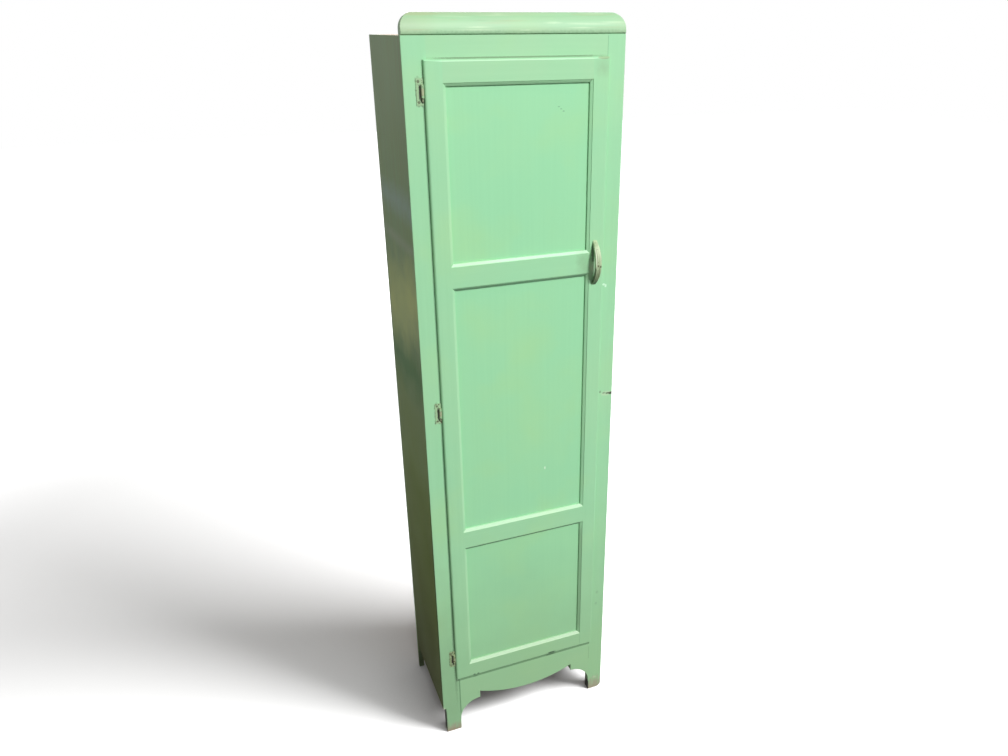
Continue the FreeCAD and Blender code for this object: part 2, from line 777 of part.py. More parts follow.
for side, name in ((-1, "back_batten_left"), (1, "back_batten_right")):
    export(name, drilled(corner_batten(side, batten_front_y), nails))
export("front_batten_right", corner_batten(1, frame_back_y))
export("top_board", block(-inner_half, inner_half, frame_back_y, back_front_y, board_underside, frame_top))
export("bottom_board", level_board(floor_board_underside, board_thickness, frame_back_y, 0.0))
shelf_start_y = frame_back_y + shelf_front_gap
catch_holes = [catch_screw(side, screw_play) for side in (-1, 1)]
for number, underside in enumerate(shelf_undersides(), start=1):
    shelf = level_board(underside, shelf_thickness, shelf_start_y, panel_play)
    if number == catch_shelf:
        shelf = drilled(shelf, catch_holes)
    export("shelf_%d" % number, shelf)
bearing_heights = [floor_board_underside] + shelf_undersides() + [board_underside]
export("shelf_cleats_left", *[cleat(-1, height) for height in bearing_heights])
export("shelf_cleats_right", *[cleat(1, height) for height in bearing_heights])
export("back_nails", *nails)

handle_holes = [handle_screw(side, screw_play) for side in (-1, 1)]
left_cuts = [seat_in_lip(z) for z in hinge_heights.values()] + sum(door_holes.values(), [])
right_cuts = handle_holes + [strike_screw(screw_play)]
for name, member in door_frame(left_cuts, right_cuts).items():
    export(name, member)

for place, height in hinge_heights.items():
    export("hinge_frame_leaf_" + place, frame_leaf(height, frame_holes[place]))
    export("hinge_door_leaf_" + place, door_leaf(height, door_holes[place]))
    export("hinge_pin_" + place, hinge_pin(height))
export("frame_leaf_screws", *sum([frame_leaf_screws(z) for z in hinge_heights.values()], []))
export("door_leaf_screws", *sum([door_leaf_screws(z) for z in hinge_heights.values()], []))

export("door_handle", door_handle(handle_holes))
export("handle_screws", *[handle_screw(side) for side in (-1, 1)])
export("catch_case", catch_case())
export("catch_poles", *catch_poles())
export("catch_screws", *[catch_screw(side) for side in (-1, 1)])
export("strike_plate", strike_plate())
export("strike_screw", strike_screw())

os.makedirs("parts", exist_ok=True)
for name, shape in nodes.items():
    shape.exportStep(os.path.join("parts", name + ".step"))
print(len(nodes), "nodes,", sum(len(shape.Solids) for shape in nodes.values()), "solids")
for name, shape in nodes.items():
    if not shape.isValid():
        print("invalid:", name)
print("pin axis x %.2f y %.2f" % (pin_x, pin_y), "front_y %.2f back_y %.2f" % (front_y, back_y))
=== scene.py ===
# %% [markdown]
# # A painted bonnetiere
#
# This file dresses a tall, narrow cupboard of painted softwood. Its construction comes from the
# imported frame: forty-odd pieces at their real size, with the door hung on three small hinges. The
# lesson adds what carpentry alone doesn't give: eased edges, a brushed coat of mint green oil
# paint, bare pine inside, rusty hinges and the wear of many years.

# %% Load the frame
import json
import math
import random

import bmesh
import bpy
from mathutils import Matrix, Vector


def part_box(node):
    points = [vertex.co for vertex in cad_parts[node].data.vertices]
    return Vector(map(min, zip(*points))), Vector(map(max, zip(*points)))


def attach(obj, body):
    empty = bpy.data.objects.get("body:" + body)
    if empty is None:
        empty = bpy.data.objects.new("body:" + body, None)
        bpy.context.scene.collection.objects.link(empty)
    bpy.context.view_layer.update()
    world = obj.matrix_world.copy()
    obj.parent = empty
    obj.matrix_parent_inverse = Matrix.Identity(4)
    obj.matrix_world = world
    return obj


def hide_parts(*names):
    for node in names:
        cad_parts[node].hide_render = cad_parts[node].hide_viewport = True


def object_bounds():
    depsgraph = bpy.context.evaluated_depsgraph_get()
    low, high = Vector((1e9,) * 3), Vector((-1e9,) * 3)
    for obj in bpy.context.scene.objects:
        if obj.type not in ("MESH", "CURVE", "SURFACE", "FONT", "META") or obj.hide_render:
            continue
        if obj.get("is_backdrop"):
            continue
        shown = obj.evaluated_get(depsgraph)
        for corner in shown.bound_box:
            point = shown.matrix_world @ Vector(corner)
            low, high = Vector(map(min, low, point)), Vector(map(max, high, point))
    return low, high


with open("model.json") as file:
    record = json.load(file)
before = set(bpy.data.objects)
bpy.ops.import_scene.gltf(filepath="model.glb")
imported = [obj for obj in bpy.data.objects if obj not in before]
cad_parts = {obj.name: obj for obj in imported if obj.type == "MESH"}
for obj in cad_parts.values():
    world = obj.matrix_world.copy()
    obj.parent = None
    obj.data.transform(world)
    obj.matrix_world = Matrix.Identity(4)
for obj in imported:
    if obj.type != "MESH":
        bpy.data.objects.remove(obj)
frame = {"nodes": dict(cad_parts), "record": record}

MM = 0.001
cad_box = [list(corner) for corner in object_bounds()]
low, high = (Vector(corner) for corner in cad_box)
body_of = {node: body for body, nodes in frame["record"]["behaviour"]["bodies"].items()
           for node in nodes}
print("frame: %d nodes, %.0f x %.0f x %.0f mm" % (len(frame["nodes"]), *((high - low) / MM)))

# %% [markdown]
# ## Landmarks
#
# Wear, dirt and grain belong to places on the real thing, so this step reads those places from the
# frame instead of writing them again. Each landmark is a point or a plane in metres.

# %% Landmarks on the cupboard
frame_face_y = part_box("front_apron")[0].y
door_low, door_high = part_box("door_rail_bottom")[0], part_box("door_rail_top")[1]
door_face_y = door_low.y
door_left, door_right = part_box("door_stile_left")[0].x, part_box("door_stile_right")[1].x
handle_low, handle_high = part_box("door_handle")
handle_middle = (handle_low + handle_high) / 2
hinge_levels = {}
for level in ("top", "middle", "bottom"):
    leaf_low, leaf_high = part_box("hinge_frame_leaf_" + level)
    hinge_levels[level] = (leaf_low + leaf_high) / 2
print("door face at y %.1f mm, frame face at y %.1f mm" % (door_face_y / MM, frame_face_y / MM))
print("hinges at", ", ".join("%.0f" % (place.z / MM) for place in hinge_levels.values()), "mm up")

# %% [markdown]
# ## Colour and node helpers
#
# Paint is matched on a screen, so the colours are written as sRGB hex. Shaders work in
# linear light, and one function does that change for every colour. A second helper adds a shader
# node with its settings and links, so that a material reads like a list of what it is made of. It
# looks only at the sockets that are live, because a Mix node keeps a set for each kind of data.

# %% Colours and nodes
def linear(hex_colour):
    """An sRGB hex colour as a linear RGBA tuple."""
    channels = [int(hex_colour[i:i + 2], 16) / 255 for i in (1, 3, 5)]
    return (*(c / 12.92 if c <= 0.04045 else ((c + 0.055) / 1.055) ** 2.4 for c in channels), 1.0)


def add(tree, kind, inputs=None, **settings):
    """Add a node, set it and link it.

    inputs pairs a live socket's name or number with a value, a hex colour, a node or a socket.
    """
    node = tree.nodes.new("ShaderNode" + kind)
    for name, value in settings.items():
        setattr(node, name, value)
    live = [socket for socket in node.inputs if socket.enabled]
    for key, value in (inputs or {}).items():
        socket = live[key] if isinstance(key, int) else next(s for s in live if s.name == key)
        if isinstance(value, bpy.types.Node):
            value = next(out for out in value.outputs if out.enabled)
        if isinstance(value, bpy.types.NodeSocket):
            tree.links.new(value, socket)
        else:
            socket.default_value = linear(value) if isinstance(value, str) else value
    return node


def new_material(name):
    """An empty material: itself, its node tree and its output node."""
    material = bpy.data.materials.new(name)
    material.use_nodes = True
    material.node_tree.nodes.clear()
    return material, material.node_tree, add(material.node_tree, "OutputMaterial")


print("mint green as linear light:", [round(channel, 3) for channel in linear("#9FD4A6")])

# %% [markdown]
# ## Camera
#
# The cupboard is seen by someone who stands to its left, with the camera just below its top, and
# looks down. The place of the eye, its heading and its tilt are real measures. The lens follows from
# its focal length in pixels and the image's width. A small shift moves the frame without turning
# the camera, so every straight line keeps its slope.

# %% The camera
IMAGE_WIDTH, IMAGE_HEIGHT = 1008, 756
SENSOR_WIDTH_MM = 36.0
FOCAL_PIXELS = 810.2             # the focal length in pixels of the image
OPTICAL_CENTRE = (532.6, 394.0)  # the pixel that the lens points at
EYE = Vector((-619.9, -1750.4, 1774.0)) * MM
HEADING = math.radians(21.70)    # to the right of straight ahead
LOOK_DOWN = math.radians(24.39)
ROLL = math.radians(-0.233)


def place_camera():
    """Stand the camera at the eye, with its heading, tilt and roll."""
    data = bpy.data.cameras.new("eye")
    data.sensor_width = SENSOR_WIDTH_MM
    data.lens = FOCAL_PIXELS / IMAGE_WIDTH * SENSOR_WIDTH_MM
    data.shift_x = (IMAGE_WIDTH / 2 - OPTICAL_CENTRE[0]) / IMAGE_WIDTH
    data.shift_y = (OPTICAL_CENTRE[1] - IMAGE_HEIGHT / 2) / IMAGE_WIDTH
    forward = Vector((math.sin(HEADING) * math.cos(LOOK_DOWN),
                      math.cos(HEADING) * math.cos(LOOK_DOWN), -math.sin(LOOK_DOWN)))
    right = Vector((math.cos(HEADING), -math.sin(HEADING), 0))
    up = right.cross(forward)
    rolled_right = math.cos(ROLL) * right + math.sin(ROLL) * up
    rolled_up = math.cos(ROLL) * up - math.sin(ROLL) * right
    camera = bpy.data.objects.new("eye", data)
    axes = Matrix((rolled_right, rolled_up, -forward)).transposed()
    camera.matrix_world = Matrix.Translation(EYE) @ axes.to_4x4()
    bpy.context.scene.collection.objects.link(camera)
    bpy.context.scene.camera = camera
    print("lens %.2f mm, shift %.4f %.4f" % (data.lens, data.shift_x, data.shift_y))


place_camera()

# %% [markdown]
# ## Floor and light
#
# The cupboard stands in a white studio. A soft lamp lights it from the front, a little from the
# right and from above, so the ledges of the panels shine and the door throws only a thin shadow on
# its left stile. A weaker lamp behind keeps the back readable.
#
# A pale floor that comes out white has more light on it than the object has. A studio does that with
# flags, black cards that keep each lamp off what it shouldn't light, and light linking does the same
# here. Two lamps reach only the floor: the window light lays the long soft shadow, and the doorway
# light a short one behind. The other two never reach it.
#
# To the camera the floor is light grey paper, which its two lamps bring near to white, and it is
# darker close under the cupboard. A reflection sees mid-grey paper, and every other ray meets a warm
# dark grey, so that the floor throws little light back. Further out, where the lamps fade, the floor
# takes up a glow of its own. The sky is white to the eye, and as a lamp it is a dim even grey, so
# the side in shade stays in shade.

# %% The floor
FLOOR_HALF = 14.0                # metres from its middle to its edge
SHOWN_GREY = 0.66                # how much light the floor gives back to the camera
LAMPLIT_RADIUS = 2.0             # metres round the cupboard where lamps alone light the floor
GLOW_RADIUS = 3.8                # where the floor's own glow is full
CONTACT_REACH = 0.20             # how far from the cupboard the floor is open to all light again
CONTACT_OPEN = 0.35              # how open the floor is where it is darkest
CONTACT_SHADE = 0.62             # the part of its light that it gives back there


def floor_material():
    """Matt paper that is pale to the camera and dark to the light that bounces."""
    material, tree, output = new_material("white_studio_floor")
    place = add(tree, "TexCoord").outputs["Object"]
    away = add(tree, "VectorMath", {0: place}, operation="LENGTH").outputs["Value"]
    far = add(tree, "MapRange", {"Value": away, "From Min": LAMPLIT_RADIUS, "From Max": GLOW_RADIUS},
              interpolation_type="SMOOTHSTEP")
    quiet = add(tree, "BsdfDiffuse", {"Color": "#3F3C37"})
    paper = add(tree, "BsdfDiffuse", {"Color": "#909090"})
    under = add(tree, "AmbientOcclusion", {"Distance": CONTACT_REACH}, samples=6).outputs["AO"]
    lightness = add(tree, "MapRange", {"Value": under, "From Min": CONTACT_OPEN,
                                       "To Min": CONTACT_SHADE * SHOWN_GREY, "To Max": SHOWN_GREY})
    pale = add(tree, "BsdfDiffuse", {"Color": lightness})
    glow = add(tree, "Emission", {"Color": "#FFFFFF", "Strength": far})
    shown = add(tree, "AddShader", {0: pale, 1: glow})
    path = add(tree, "LightPath")
    reflected = add(tree, "Math", {0: path.outputs["Is Glossy Ray"],
                                   1: path.outputs["Is Transmission Ray"]}, operation="MAXIMUM")
    mix = add(tree, "MixShader", {0: reflected, 1: quiet, 2: paper})
    mix = add(tree, "MixShader", {0: path.outputs["Is Camera Ray"], 1: mix, 2: shown})
    tree.links.new(mix.outputs[0], output.inputs["Surface"])
    return material


def make_floor():
    """A wide sheet at the level of the feet."""
    mesh = bpy.data.meshes.new("studio_floor")
    corners = [(x * FLOOR_HALF, y * FLOOR_HALF, 0) for x, y in ((-1, -1), (1, -1), (1, 1), (-1, 1))]
    mesh.from_pydata(corners, [], [(0, 1, 2, 3)])
    sheet = bpy.data.objects.new("studio_floor", mesh)
    mesh.materials.append(floor_material())
    bpy.context.scene.collection.objects.link(sheet)
    sheet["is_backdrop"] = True
    return sheet


floor = make_floor()
print("floor: %.0f m wide, lit by its lamps alone for %.1f m" % (2 * FLOOR_HALF, LAMPLIT_RADIUS))

# %% The sky
SKY_AT_HORIZON, SKY_OVERHEAD = 0.42, 0.32


def make_sky():
    """A world that is white to the eye and in reflections, and dim as a lamp."""
    world = bpy.data.worlds.new("studio")
    bpy.context.scene.world = world
    world.use_nodes = True
    tree = world.node_tree
    tree.nodes.clear()
    path = add(tree, "LightPath")
    seen = add(tree, "Math", {0: path.outputs["Is Camera Ray"],
                              1: path.outputs["Is Glossy Ray"]}, operation="MAXIMUM")
    seen = add(tree, "Math", {0: seen, 1: path.outputs["Is Transmission Ray"]}, operation="MAXIMUM")
    white = add(tree, "Background", {"Color": "#FFFFFF", "Strength": 1.0})
    upward = add(tree, "SeparateXYZ", {0: add(tree, "TexCoord").outputs["Generated"]}).outputs["Z"]
    level = add(tree, "MapRange", {"Value": upward, "To Min": SKY_AT_HORIZON, "To Max": SKY_OVERHEAD})
    ambient = add(tree, "Background", {"Color": "#FCFBF8", "Strength": level})
    mix = add(tree, "MixShader", {0: seen, 1: ambient, 2: white})
    tree.links.new(mix.outputs[0], add(tree, "OutputWorld").inputs["Surface"])


make_sky()
bpy.context.scene.view_settings.view_transform = "Standard"
print("sky as a lamp: %.2f at the horizon, %.2f overhead" % (SKY_AT_HORIZON, SKY_OVERHEAD))


# %% Lamps and flags
def flag(name, state):
    """A set of receivers with the floor in it: INCLUDE lights only the floor, EXCLUDE all else."""
    receivers = bpy.data.collections.new(name)
    receivers.objects.link(floor)
    receivers.collection_objects[0].light_linking.link_state = state
    return receivers


def soft_lamp(name, azimuth, elevation, distance, size, power, receivers, aim):
    """A rectangular lamp that looks at the point aim.

    The angles are in degrees, and azimuth 0 is in front and 90 to the right. The distance and size
    are in metres and the power in watts.
    """
    data = bpy.data.lights.new(name, "AREA")
    data.shape = "RECTANGLE"
    data.size, data.size_y = size
    data.energy = power
    turn, rise = math.radians(azimuth), math.radians(elevation)
    away = Vector((math.sin(turn) * math.cos(rise), -math.cos(turn) * math.cos(rise), math.sin(rise)))
    lamp = bpy.data.objects.new(name, data)
    lamp.location = aim + away * distance
    lamp.rotation_euler = away.to_track_quat("Z", "Y").to_euler()
    lamp.visible_camera = False
    lamp.light_linking.receiver_collection = receivers
    bpy.context.scene.collection.objects.link(lamp)


floor_only, all_but_floor = flag("floor_only", "INCLUDE"), flag("all_but_floor", "EXCLUDE")
front_middle = Vector((0, frame_face_y, (low.z + high.z) / 2))
lamps = (  # name, azimuth, elevation, distance, size, power and what it reaches
    ("front_softbox", 22, 37, 7.0, (1.3, 1.3), 470, all_but_floor),
    ("back_fill", 165, 25, 5.0, (1.8, 1.8), 90, all_but_floor),
    ("window_light", 56, 42, 5.4, (2.7, 3.1), 1150, floor_only),
    ("doorway_light", 13, 48, 5.0, (3.9, 3.9), 195, floor_only),
)
for lamp in lamps:
    soft_lamp(*lamp, aim=front_middle)
    print("%s: %d watts at %.1f m" % (lamp[0], lamp[5], lamp[3]))

# %% [markdown]
# ## Mint green oil paint
#
# The cupboard wears alkyd oil paint, put on with a bristle brush over softwood. That gives the eye
# four things: faint streaks along each board, patches where the coat has yellowed, a soft gloss, and
# edges and corners worn through. Dry alkyd has an IOR of about 1.5, and years of dust leave it
# neither shiny nor flat. An image of brushed paint could be wrapped round the boards, but streaks
# that are worked out from the board's own direction never stretch or repeat.
#
# Wear that has a place, such as a chip or a stain, is a mark: a centre and a reach on the real board.
# Painted shadows, shade, highlights and reflections are marks too. The mask is 1 inside that reach,
# and noise frays its edge.

# %% Masks that the finishes share
def stretched_noise(tree, point, along, width, length, detail=2.0):
    """Noise drawn out along x or z: width is its size across the board, length along it."""
    sizes = {"x": (length, width, width), "z": (width, width, length)}[along]
    scaled = add(tree, "Mapping", {"Vector": point, "Scale": tuple(1 / size for size in sizes)})
    return add(tree, "TexNoise", {"Vector": scaled, "Scale": 1.0, "Detail": detail}).outputs[0]


WORN_STREAK = (2.5 * MM, 26 * MM)        # width and length of the streaks that worn paint ends in
FRAY_GRAIN = 0.6                 # size of the noise on any other edge, as a share of the mark's
EDGE_OF_MARK = {                 # how noise frays a mark's edge, and where the mark is whole
    "frayed": (0.35, 0.40),
    "boxy": (0.35, 0.40),
    "line": (0.10, 0.72),
    "soft": (0.35, -0.25),
    "streaky": (0.75, -0.30),
}


def mark_mask(tree, point, centre, extent, kind):
    """1 near the centre, as an ellipsoid, or as a box in x and z for a boxy mark or a line."""
    off = add(tree, "VectorMath", {0: point, 1: tuple(centre)}, operation="SUBTRACT")
    off = add(tree, "VectorMath", {0: off, 1: tuple(extent)}, operation="DIVIDE")
    if kind in ("boxy", "line"):
        off = add(tree, "VectorMath", {0: off}, operation="ABSOLUTE")
        sides = add(tree, "SeparateXYZ", {0: off})
        size = add(tree, "Math", {0: sides.outputs["X"], 1: sides.outputs["Z"]}, operation="MAXIMUM")
    else:
        size = add(tree, "VectorMath", {0: off}, operation="LENGTH").outputs["Value"]
    if kind == "streaky":
        rag = stretched_noise(tree, point, "z", *WORN_STREAK)
    else:
        grain = FRAY_GRAIN * min(extent)
        rag = add(tree, "TexNoise", {"Vector": point, "Scale": 1 / grain, "Detail": 2.0})
    fray, whole = EDGE_OF_MARK[kind]
    size = add(tree, "Math", {0: rag, 1: -2 * fray, 2: size}, operation="MULTIPLY_ADD")
    return add(tree, "MapRange", {"Value": size, "From Min": 1.0 - fray, "From Max": whole,
                                  "To Min": 0.0, "To Max": 1.0})


def lay_over(tree, colour, mask, strength, coat):
    """colour with coat over it where mask is 1."""
    amount = add(tree, "Math", {0: mask, 1: strength}, operation="MULTIPLY")
    return add(tree, "Mix", {"Factor": amount, "A": colour, "B": coat}, data_type="RGBA")


# %% The paint
STREAK_WIDTH = 7 * MM            # the tracks of a 50 mm brush; single bristles are finer
BRISTLE_WIDTH = 1.5 * MM         # a bristle mark is about 0.5 mm, drawn wider so that it shows
STREAK_LENGTH = 320 * MM
STREAK_DEPTH = 0.12 * MM
PATCH_SIZE = 170 * MM            # the patches in which the coat has yellowed
SPECK_SPACING = 46 * MM
SPECK_CORE, SPECK_RIM = 0.030, 0.048     # radii of a speck, as shares of that spacing
SPECKS_LEFT_OUT = 0.55           # share of the specks that the coat doesn't have
CHIP_SIZE = 9 * MM               # chips along a worn arris
# darker towards the floor: partly age, partly painted shade where the light fades
AGED_AND_SHADED_FULLY, AGED_AND_SHADED_FROM = 0.30, 0.95       # metres of height, with half the patch noise added to it
BLUISH_COAT, YELLOWISH_COAT = ("#98D8A8", "#9BD8A6"), ("#9FD4A6", "#A3D2A5")
STILE_COAT, FADED_COAT = ("#9BD5A7", "#9FD5A6"), ("#9CC49B", "#A6C69D")
BRUSHED, YELLOWED, AGED_AND_SHADED, DUST = "#86C493", "#A9D795", "#93BC8C", "#A99C7C"
# the dark olive is dirt in the specks and chips, and painted shade in the crease above the door
UNDERCOAT, BARE_END, GRIME_AND_SHADE = "#CFCBB2", "#A29A84", "#4B4A34"
SOUND_ARRIS, WORN_ARRIS = 0.62, 0.50     # how much of an arris still has its paint


def oil_paint(name, along, marks=(), coat=YELLOWISH_COAT, dulled=0.0, gloss=0.5, roughness=0.44,
              brushed=0.3, sound=SOUND_ARRIS):
    """Brushed mint oil paint.

    marks are (centre, reach, colour, strength, kind), dulled adds dust, brushed is the strength of
    the streaks, and sound tells how much of each arris still has its paint.
    """
    material, tree, output = new_material(name)
    point = add(tree, "TexCoord").outputs["Object"]
    height = add(tree, "SeparateXYZ", {0: point}).outputs["Z"]
    streaks = stretched_noise(tree, point, along, STREAK_WIDTH, STREAK_LENGTH)
    bristles = stretched_noise(tree, point, along, BRISTLE_WIDTH, STREAK_LENGTH / 3)
    patches = add(tree, "TexNoise", {"Vector": point, "Scale": 1 / PATCH_SIZE, "Detail": 3.0})
    tint = add(tree, "MapRange", {"Value": patches, "From Min": 0.38, "From Max": 0.62})
    colour = add(tree, "Mix", {"Factor": tint, "A": coat[0], "B": coat[1]}, data_type="RGBA")
    yellow = add(tree, "MapRange", {"Value": patches.outputs["Color"],
                                    "From Min": 0.50, "From Max": 0.75})
    colour = lay_over(tree, colour, yellow, 0.5, YELLOWED)
    # aged paint and painted shade together: the coat darkens towards the floor
    lower = add(tree, "Math", {0: patches, 1: 0.5, 2: height}, operation="MULTIPLY_ADD")
    age_and_shade = add(tree, "MapRange", {"Value": lower, "From Min": AGED_AND_SHADED_FROM, "From Max": AGED_AND_SHADED_FULLY},
              interpolation_type="SMOOTHSTEP")
    colour = lay_over(tree, colour, age_and_shade, 0.6, AGED_AND_SHADED)
    streak = add(tree, "MapRange", {"Value": streaks, "From Min": 0.35, "From Max": 0.75})
    colour = lay_over(tree, colour, streak, 0.43 * brushed, BRUSHED)
    if dulled:
        dust = add(tree, "MapRange", {"Value": streaks, "To Min": 0.5, "To Max": 1.3})
        colour = lay_over(tree, colour, dust, dulled, DUST)
    specks = add(tree, "TexVoronoi", {"Vector": point, "Scale": 1 / SPECK_SPACING})
    speck = add(tree, "MapRange", {"Value": specks, "From Min": SPECK_RIM, "From Max": SPECK_CORE})
    kept = add(tree, "Math", {0: specks.outputs["Color"], 1: SPECKS_LEFT_OUT}, operation="GREATER_THAN")
    speck = add(tree, "Math", {0: speck, 1: kept}, operation="MULTIPLY")
    colour = lay_over(tree, colour, speck, 0.5, GRIME_AND_SHADE)
    worn = add(tree, "Attribute", {}, attribute_name="arris").outputs["Fac"]
    chips = add(tree, "TexNoise", {"Vector": point, "Scale": 1 / CHIP_SIZE, "Detail": 3.0})
    chip = add(tree, "MapRange", {"Value": chips, "From Min": sound, "From Max": sound + 0.04})
    chip = add(tree, "Math", {0: chip, 1: worn}, operation="MULTIPLY")
    colour = lay_over(tree, colour, chip, 0.8, UNDERCOAT)
    for centre, extent, stain, strength, kind in marks:
        mask = mark_mask(tree, point, centre, extent, kind)
        colour = lay_over(tree, colour, mask, strength, stain)
    relief = add(tree, "Math", {0: streaks, 1: 0.6, 2: bristles}, operation="MULTIPLY_ADD")
    bump = add(tree, "Bump", {"Strength": brushed, "Distance": STREAK_DEPTH, "Height": relief})
    rough = add(tree, "MapRange", {"Value": patches, "To Min": roughness - 0.1,
                                   "To Max": roughness + 0.1})
    paint = add(tree, "BsdfPrincipled", {"Base Color": colour, "Roughness": rough, "IOR": 1.5,
                                         "Specular IOR Level": gloss, "Normal": bump})
    tree.links.new(paint.outputs[0], output.inputs["Surface"])
    return material


# %% [markdown]
# ## Bare pine
#
# Inside, on the back and under the feet the wood was never painted. Flat-sawn pine shows nested
# lines, pale early wood between darker late wood, a few knots, and grey-brown dirt. The lines are
# the contours of one noise that is stretched along the board, so they close round each other as
# growth rings do where the saw runs out of them. A wave texture would be quicker and too regular.
# Sawn or planed and never varnished, the wood hardly shines, so its roughness is high.

# %% The pine
RING_SPACING = 5 * MM
FIGURE_WIDTH, FIGURE_LENGTH = 70 * MM, 1400 * MM
KNOT_SPACING = 210 * MM
KNOT_CORE, KNOT_RIM, SWIRL_REACH = 0.035, 0.060, 0.22    # radii as shares of that spacing
FIBRE_WIDTH, FIBRE_LENGTH = 1.2 * MM, 70 * MM    # real fibres are finer, and these show
FIBRE_DEPTH = 0.15 * MM
DIRT_SIZE = 140 * MM
EARLY_WOOD, LATE_WOOD, FIBRE, KNOT, DIRT = "#CBAA78", "#A97C48", "#8C6A42", "#5A3720", "#5F5140"


def bare_pine(name, along, dirt=0.35):
    """Unpainted flat-sawn pine whose grain runs along x or z."""
    material, tree, output = new_material(name)
    point = add(tree, "TexCoord").outputs["Object"]
    figure = stretched_noise(tree, point, along, FIGURE_WIDTH, FIGURE_LENGTH, detail=1.0)
    knots = add(tree, "TexVoronoi", {"Vector": point, "Scale": 1 / KNOT_SPACING})
    swirl = add(tree, "MapRange", {"Value": knots, "From Min": 0.0, "From Max": SWIRL_REACH,
                                   "To Min": 0.06, "To Max": 0.0})
    figure = add(tree, "Math", {0: figure, 1: swirl}, operation="ADD")
    rings = 2 * math.pi * FIGURE_WIDTH / RING_SPACING
    lines = add(tree, "Math", {0: figure, 1: rings}, operation="MULTIPLY")
    lines = add(tree, "Math", {0: lines}, operation="SINE")
    late = add(tree, "MapRange", {"Value": lines, "From Min": -0.2, "From Max": 1.0},
               interpolation_type="SMOOTHSTEP")
    fibres = stretched_noise(tree, point, along, FIBRE_WIDTH, FIBRE_LENGTH)
    colour = add(tree, "Mix", {"Factor": late, "A": EARLY_WOOD, "B": LATE_WOOD}, data_type="RGBA")
    colour = lay_over(tree, colour, fibres, 0.35, FIBRE)
    knot = add(tree, "MapRange", {"Value": knots, "From Min": KNOT_RIM, "From Max": KNOT_CORE})
    colour = lay_over(tree, colour, knot, 0.85, KNOT)
    soil = add(tree, "TexNoise", {"Vector": point, "Scale": 1 / DIRT_SIZE, "Detail": 4.0})
    soil = add(tree, "MapRange", {"Value": soil, "From Min": 0.35, "From Max": 0.75})
    colour = lay_over(tree, colour, soil, dirt, DIRT)
    bump = add(tree, "Bump", {"Strength": 0.4, "Distance": FIBRE_DEPTH, "Height": fibres})
    wood = add(tree, "BsdfPrincipled", {"Base Color": colour, "Roughness": 0.72, "IOR": 1.45,
                                        "Normal": bump})
    tree.links.new(wood.outputs[0], output.inputs["Surface"])
    return material


pine = {along: bare_pine("bare_pine_" + along, along) for along in "xz"}
pine["back"] = bare_pine("weathered_pine_back", "z", dirt=0.75)
print("pines:", ", ".join(material.name for material in pine.values()))

# %% [markdown]
# ## Where the paint has suffered, and painted light and shade
#
# A cupboard's wear tells how it was used: dirt where a hand reaches for the pull, feet scrubbed bare
# by the mop, grime round each hinge, a split in a stile, chips along the door's lower edge. Other
# marks are painted light and shade: the shadow of the door's lip on the stile and the apron, shade
# above the door, round the pull, beside each hinge barrel, on the feet and under the back, a paler
# patch in the pull's shadow, and pale reflections in bands on the left side, which grows darker and
# browner towards the floor. Each mark is placed from the frame's landmarks and in real millimetres.

# %% Places and reaches
def at(x, z, y=frame_face_y):
    """A point on the front, from millimetres across and up."""
    return Vector((x * MM, y, z * MM))


def reach(x, z, y=12):
    """How far a mark goes each way, in millimetres."""
    return Vector((x, y, z)) * MM


def beside_door(right, up):
    """A point on the frame, from millimetres right of the lip's left edge and above its foot."""
    return Vector((door_left + right * MM, frame_face_y, door_low.z + up * MM))


door_middle_x = (door_left + door_right) / 2
half_door = (door_right - door_left) / 2
half_door_height = (door_high.z - door_low.z) / 2
OVERRUN = 1.3                    # a line runs past the corners, so that its frayed ends don't show
print("door lip: %.0f x %.0f mm" % (2 * half_door / MM, 2 * half_door_height / MM))

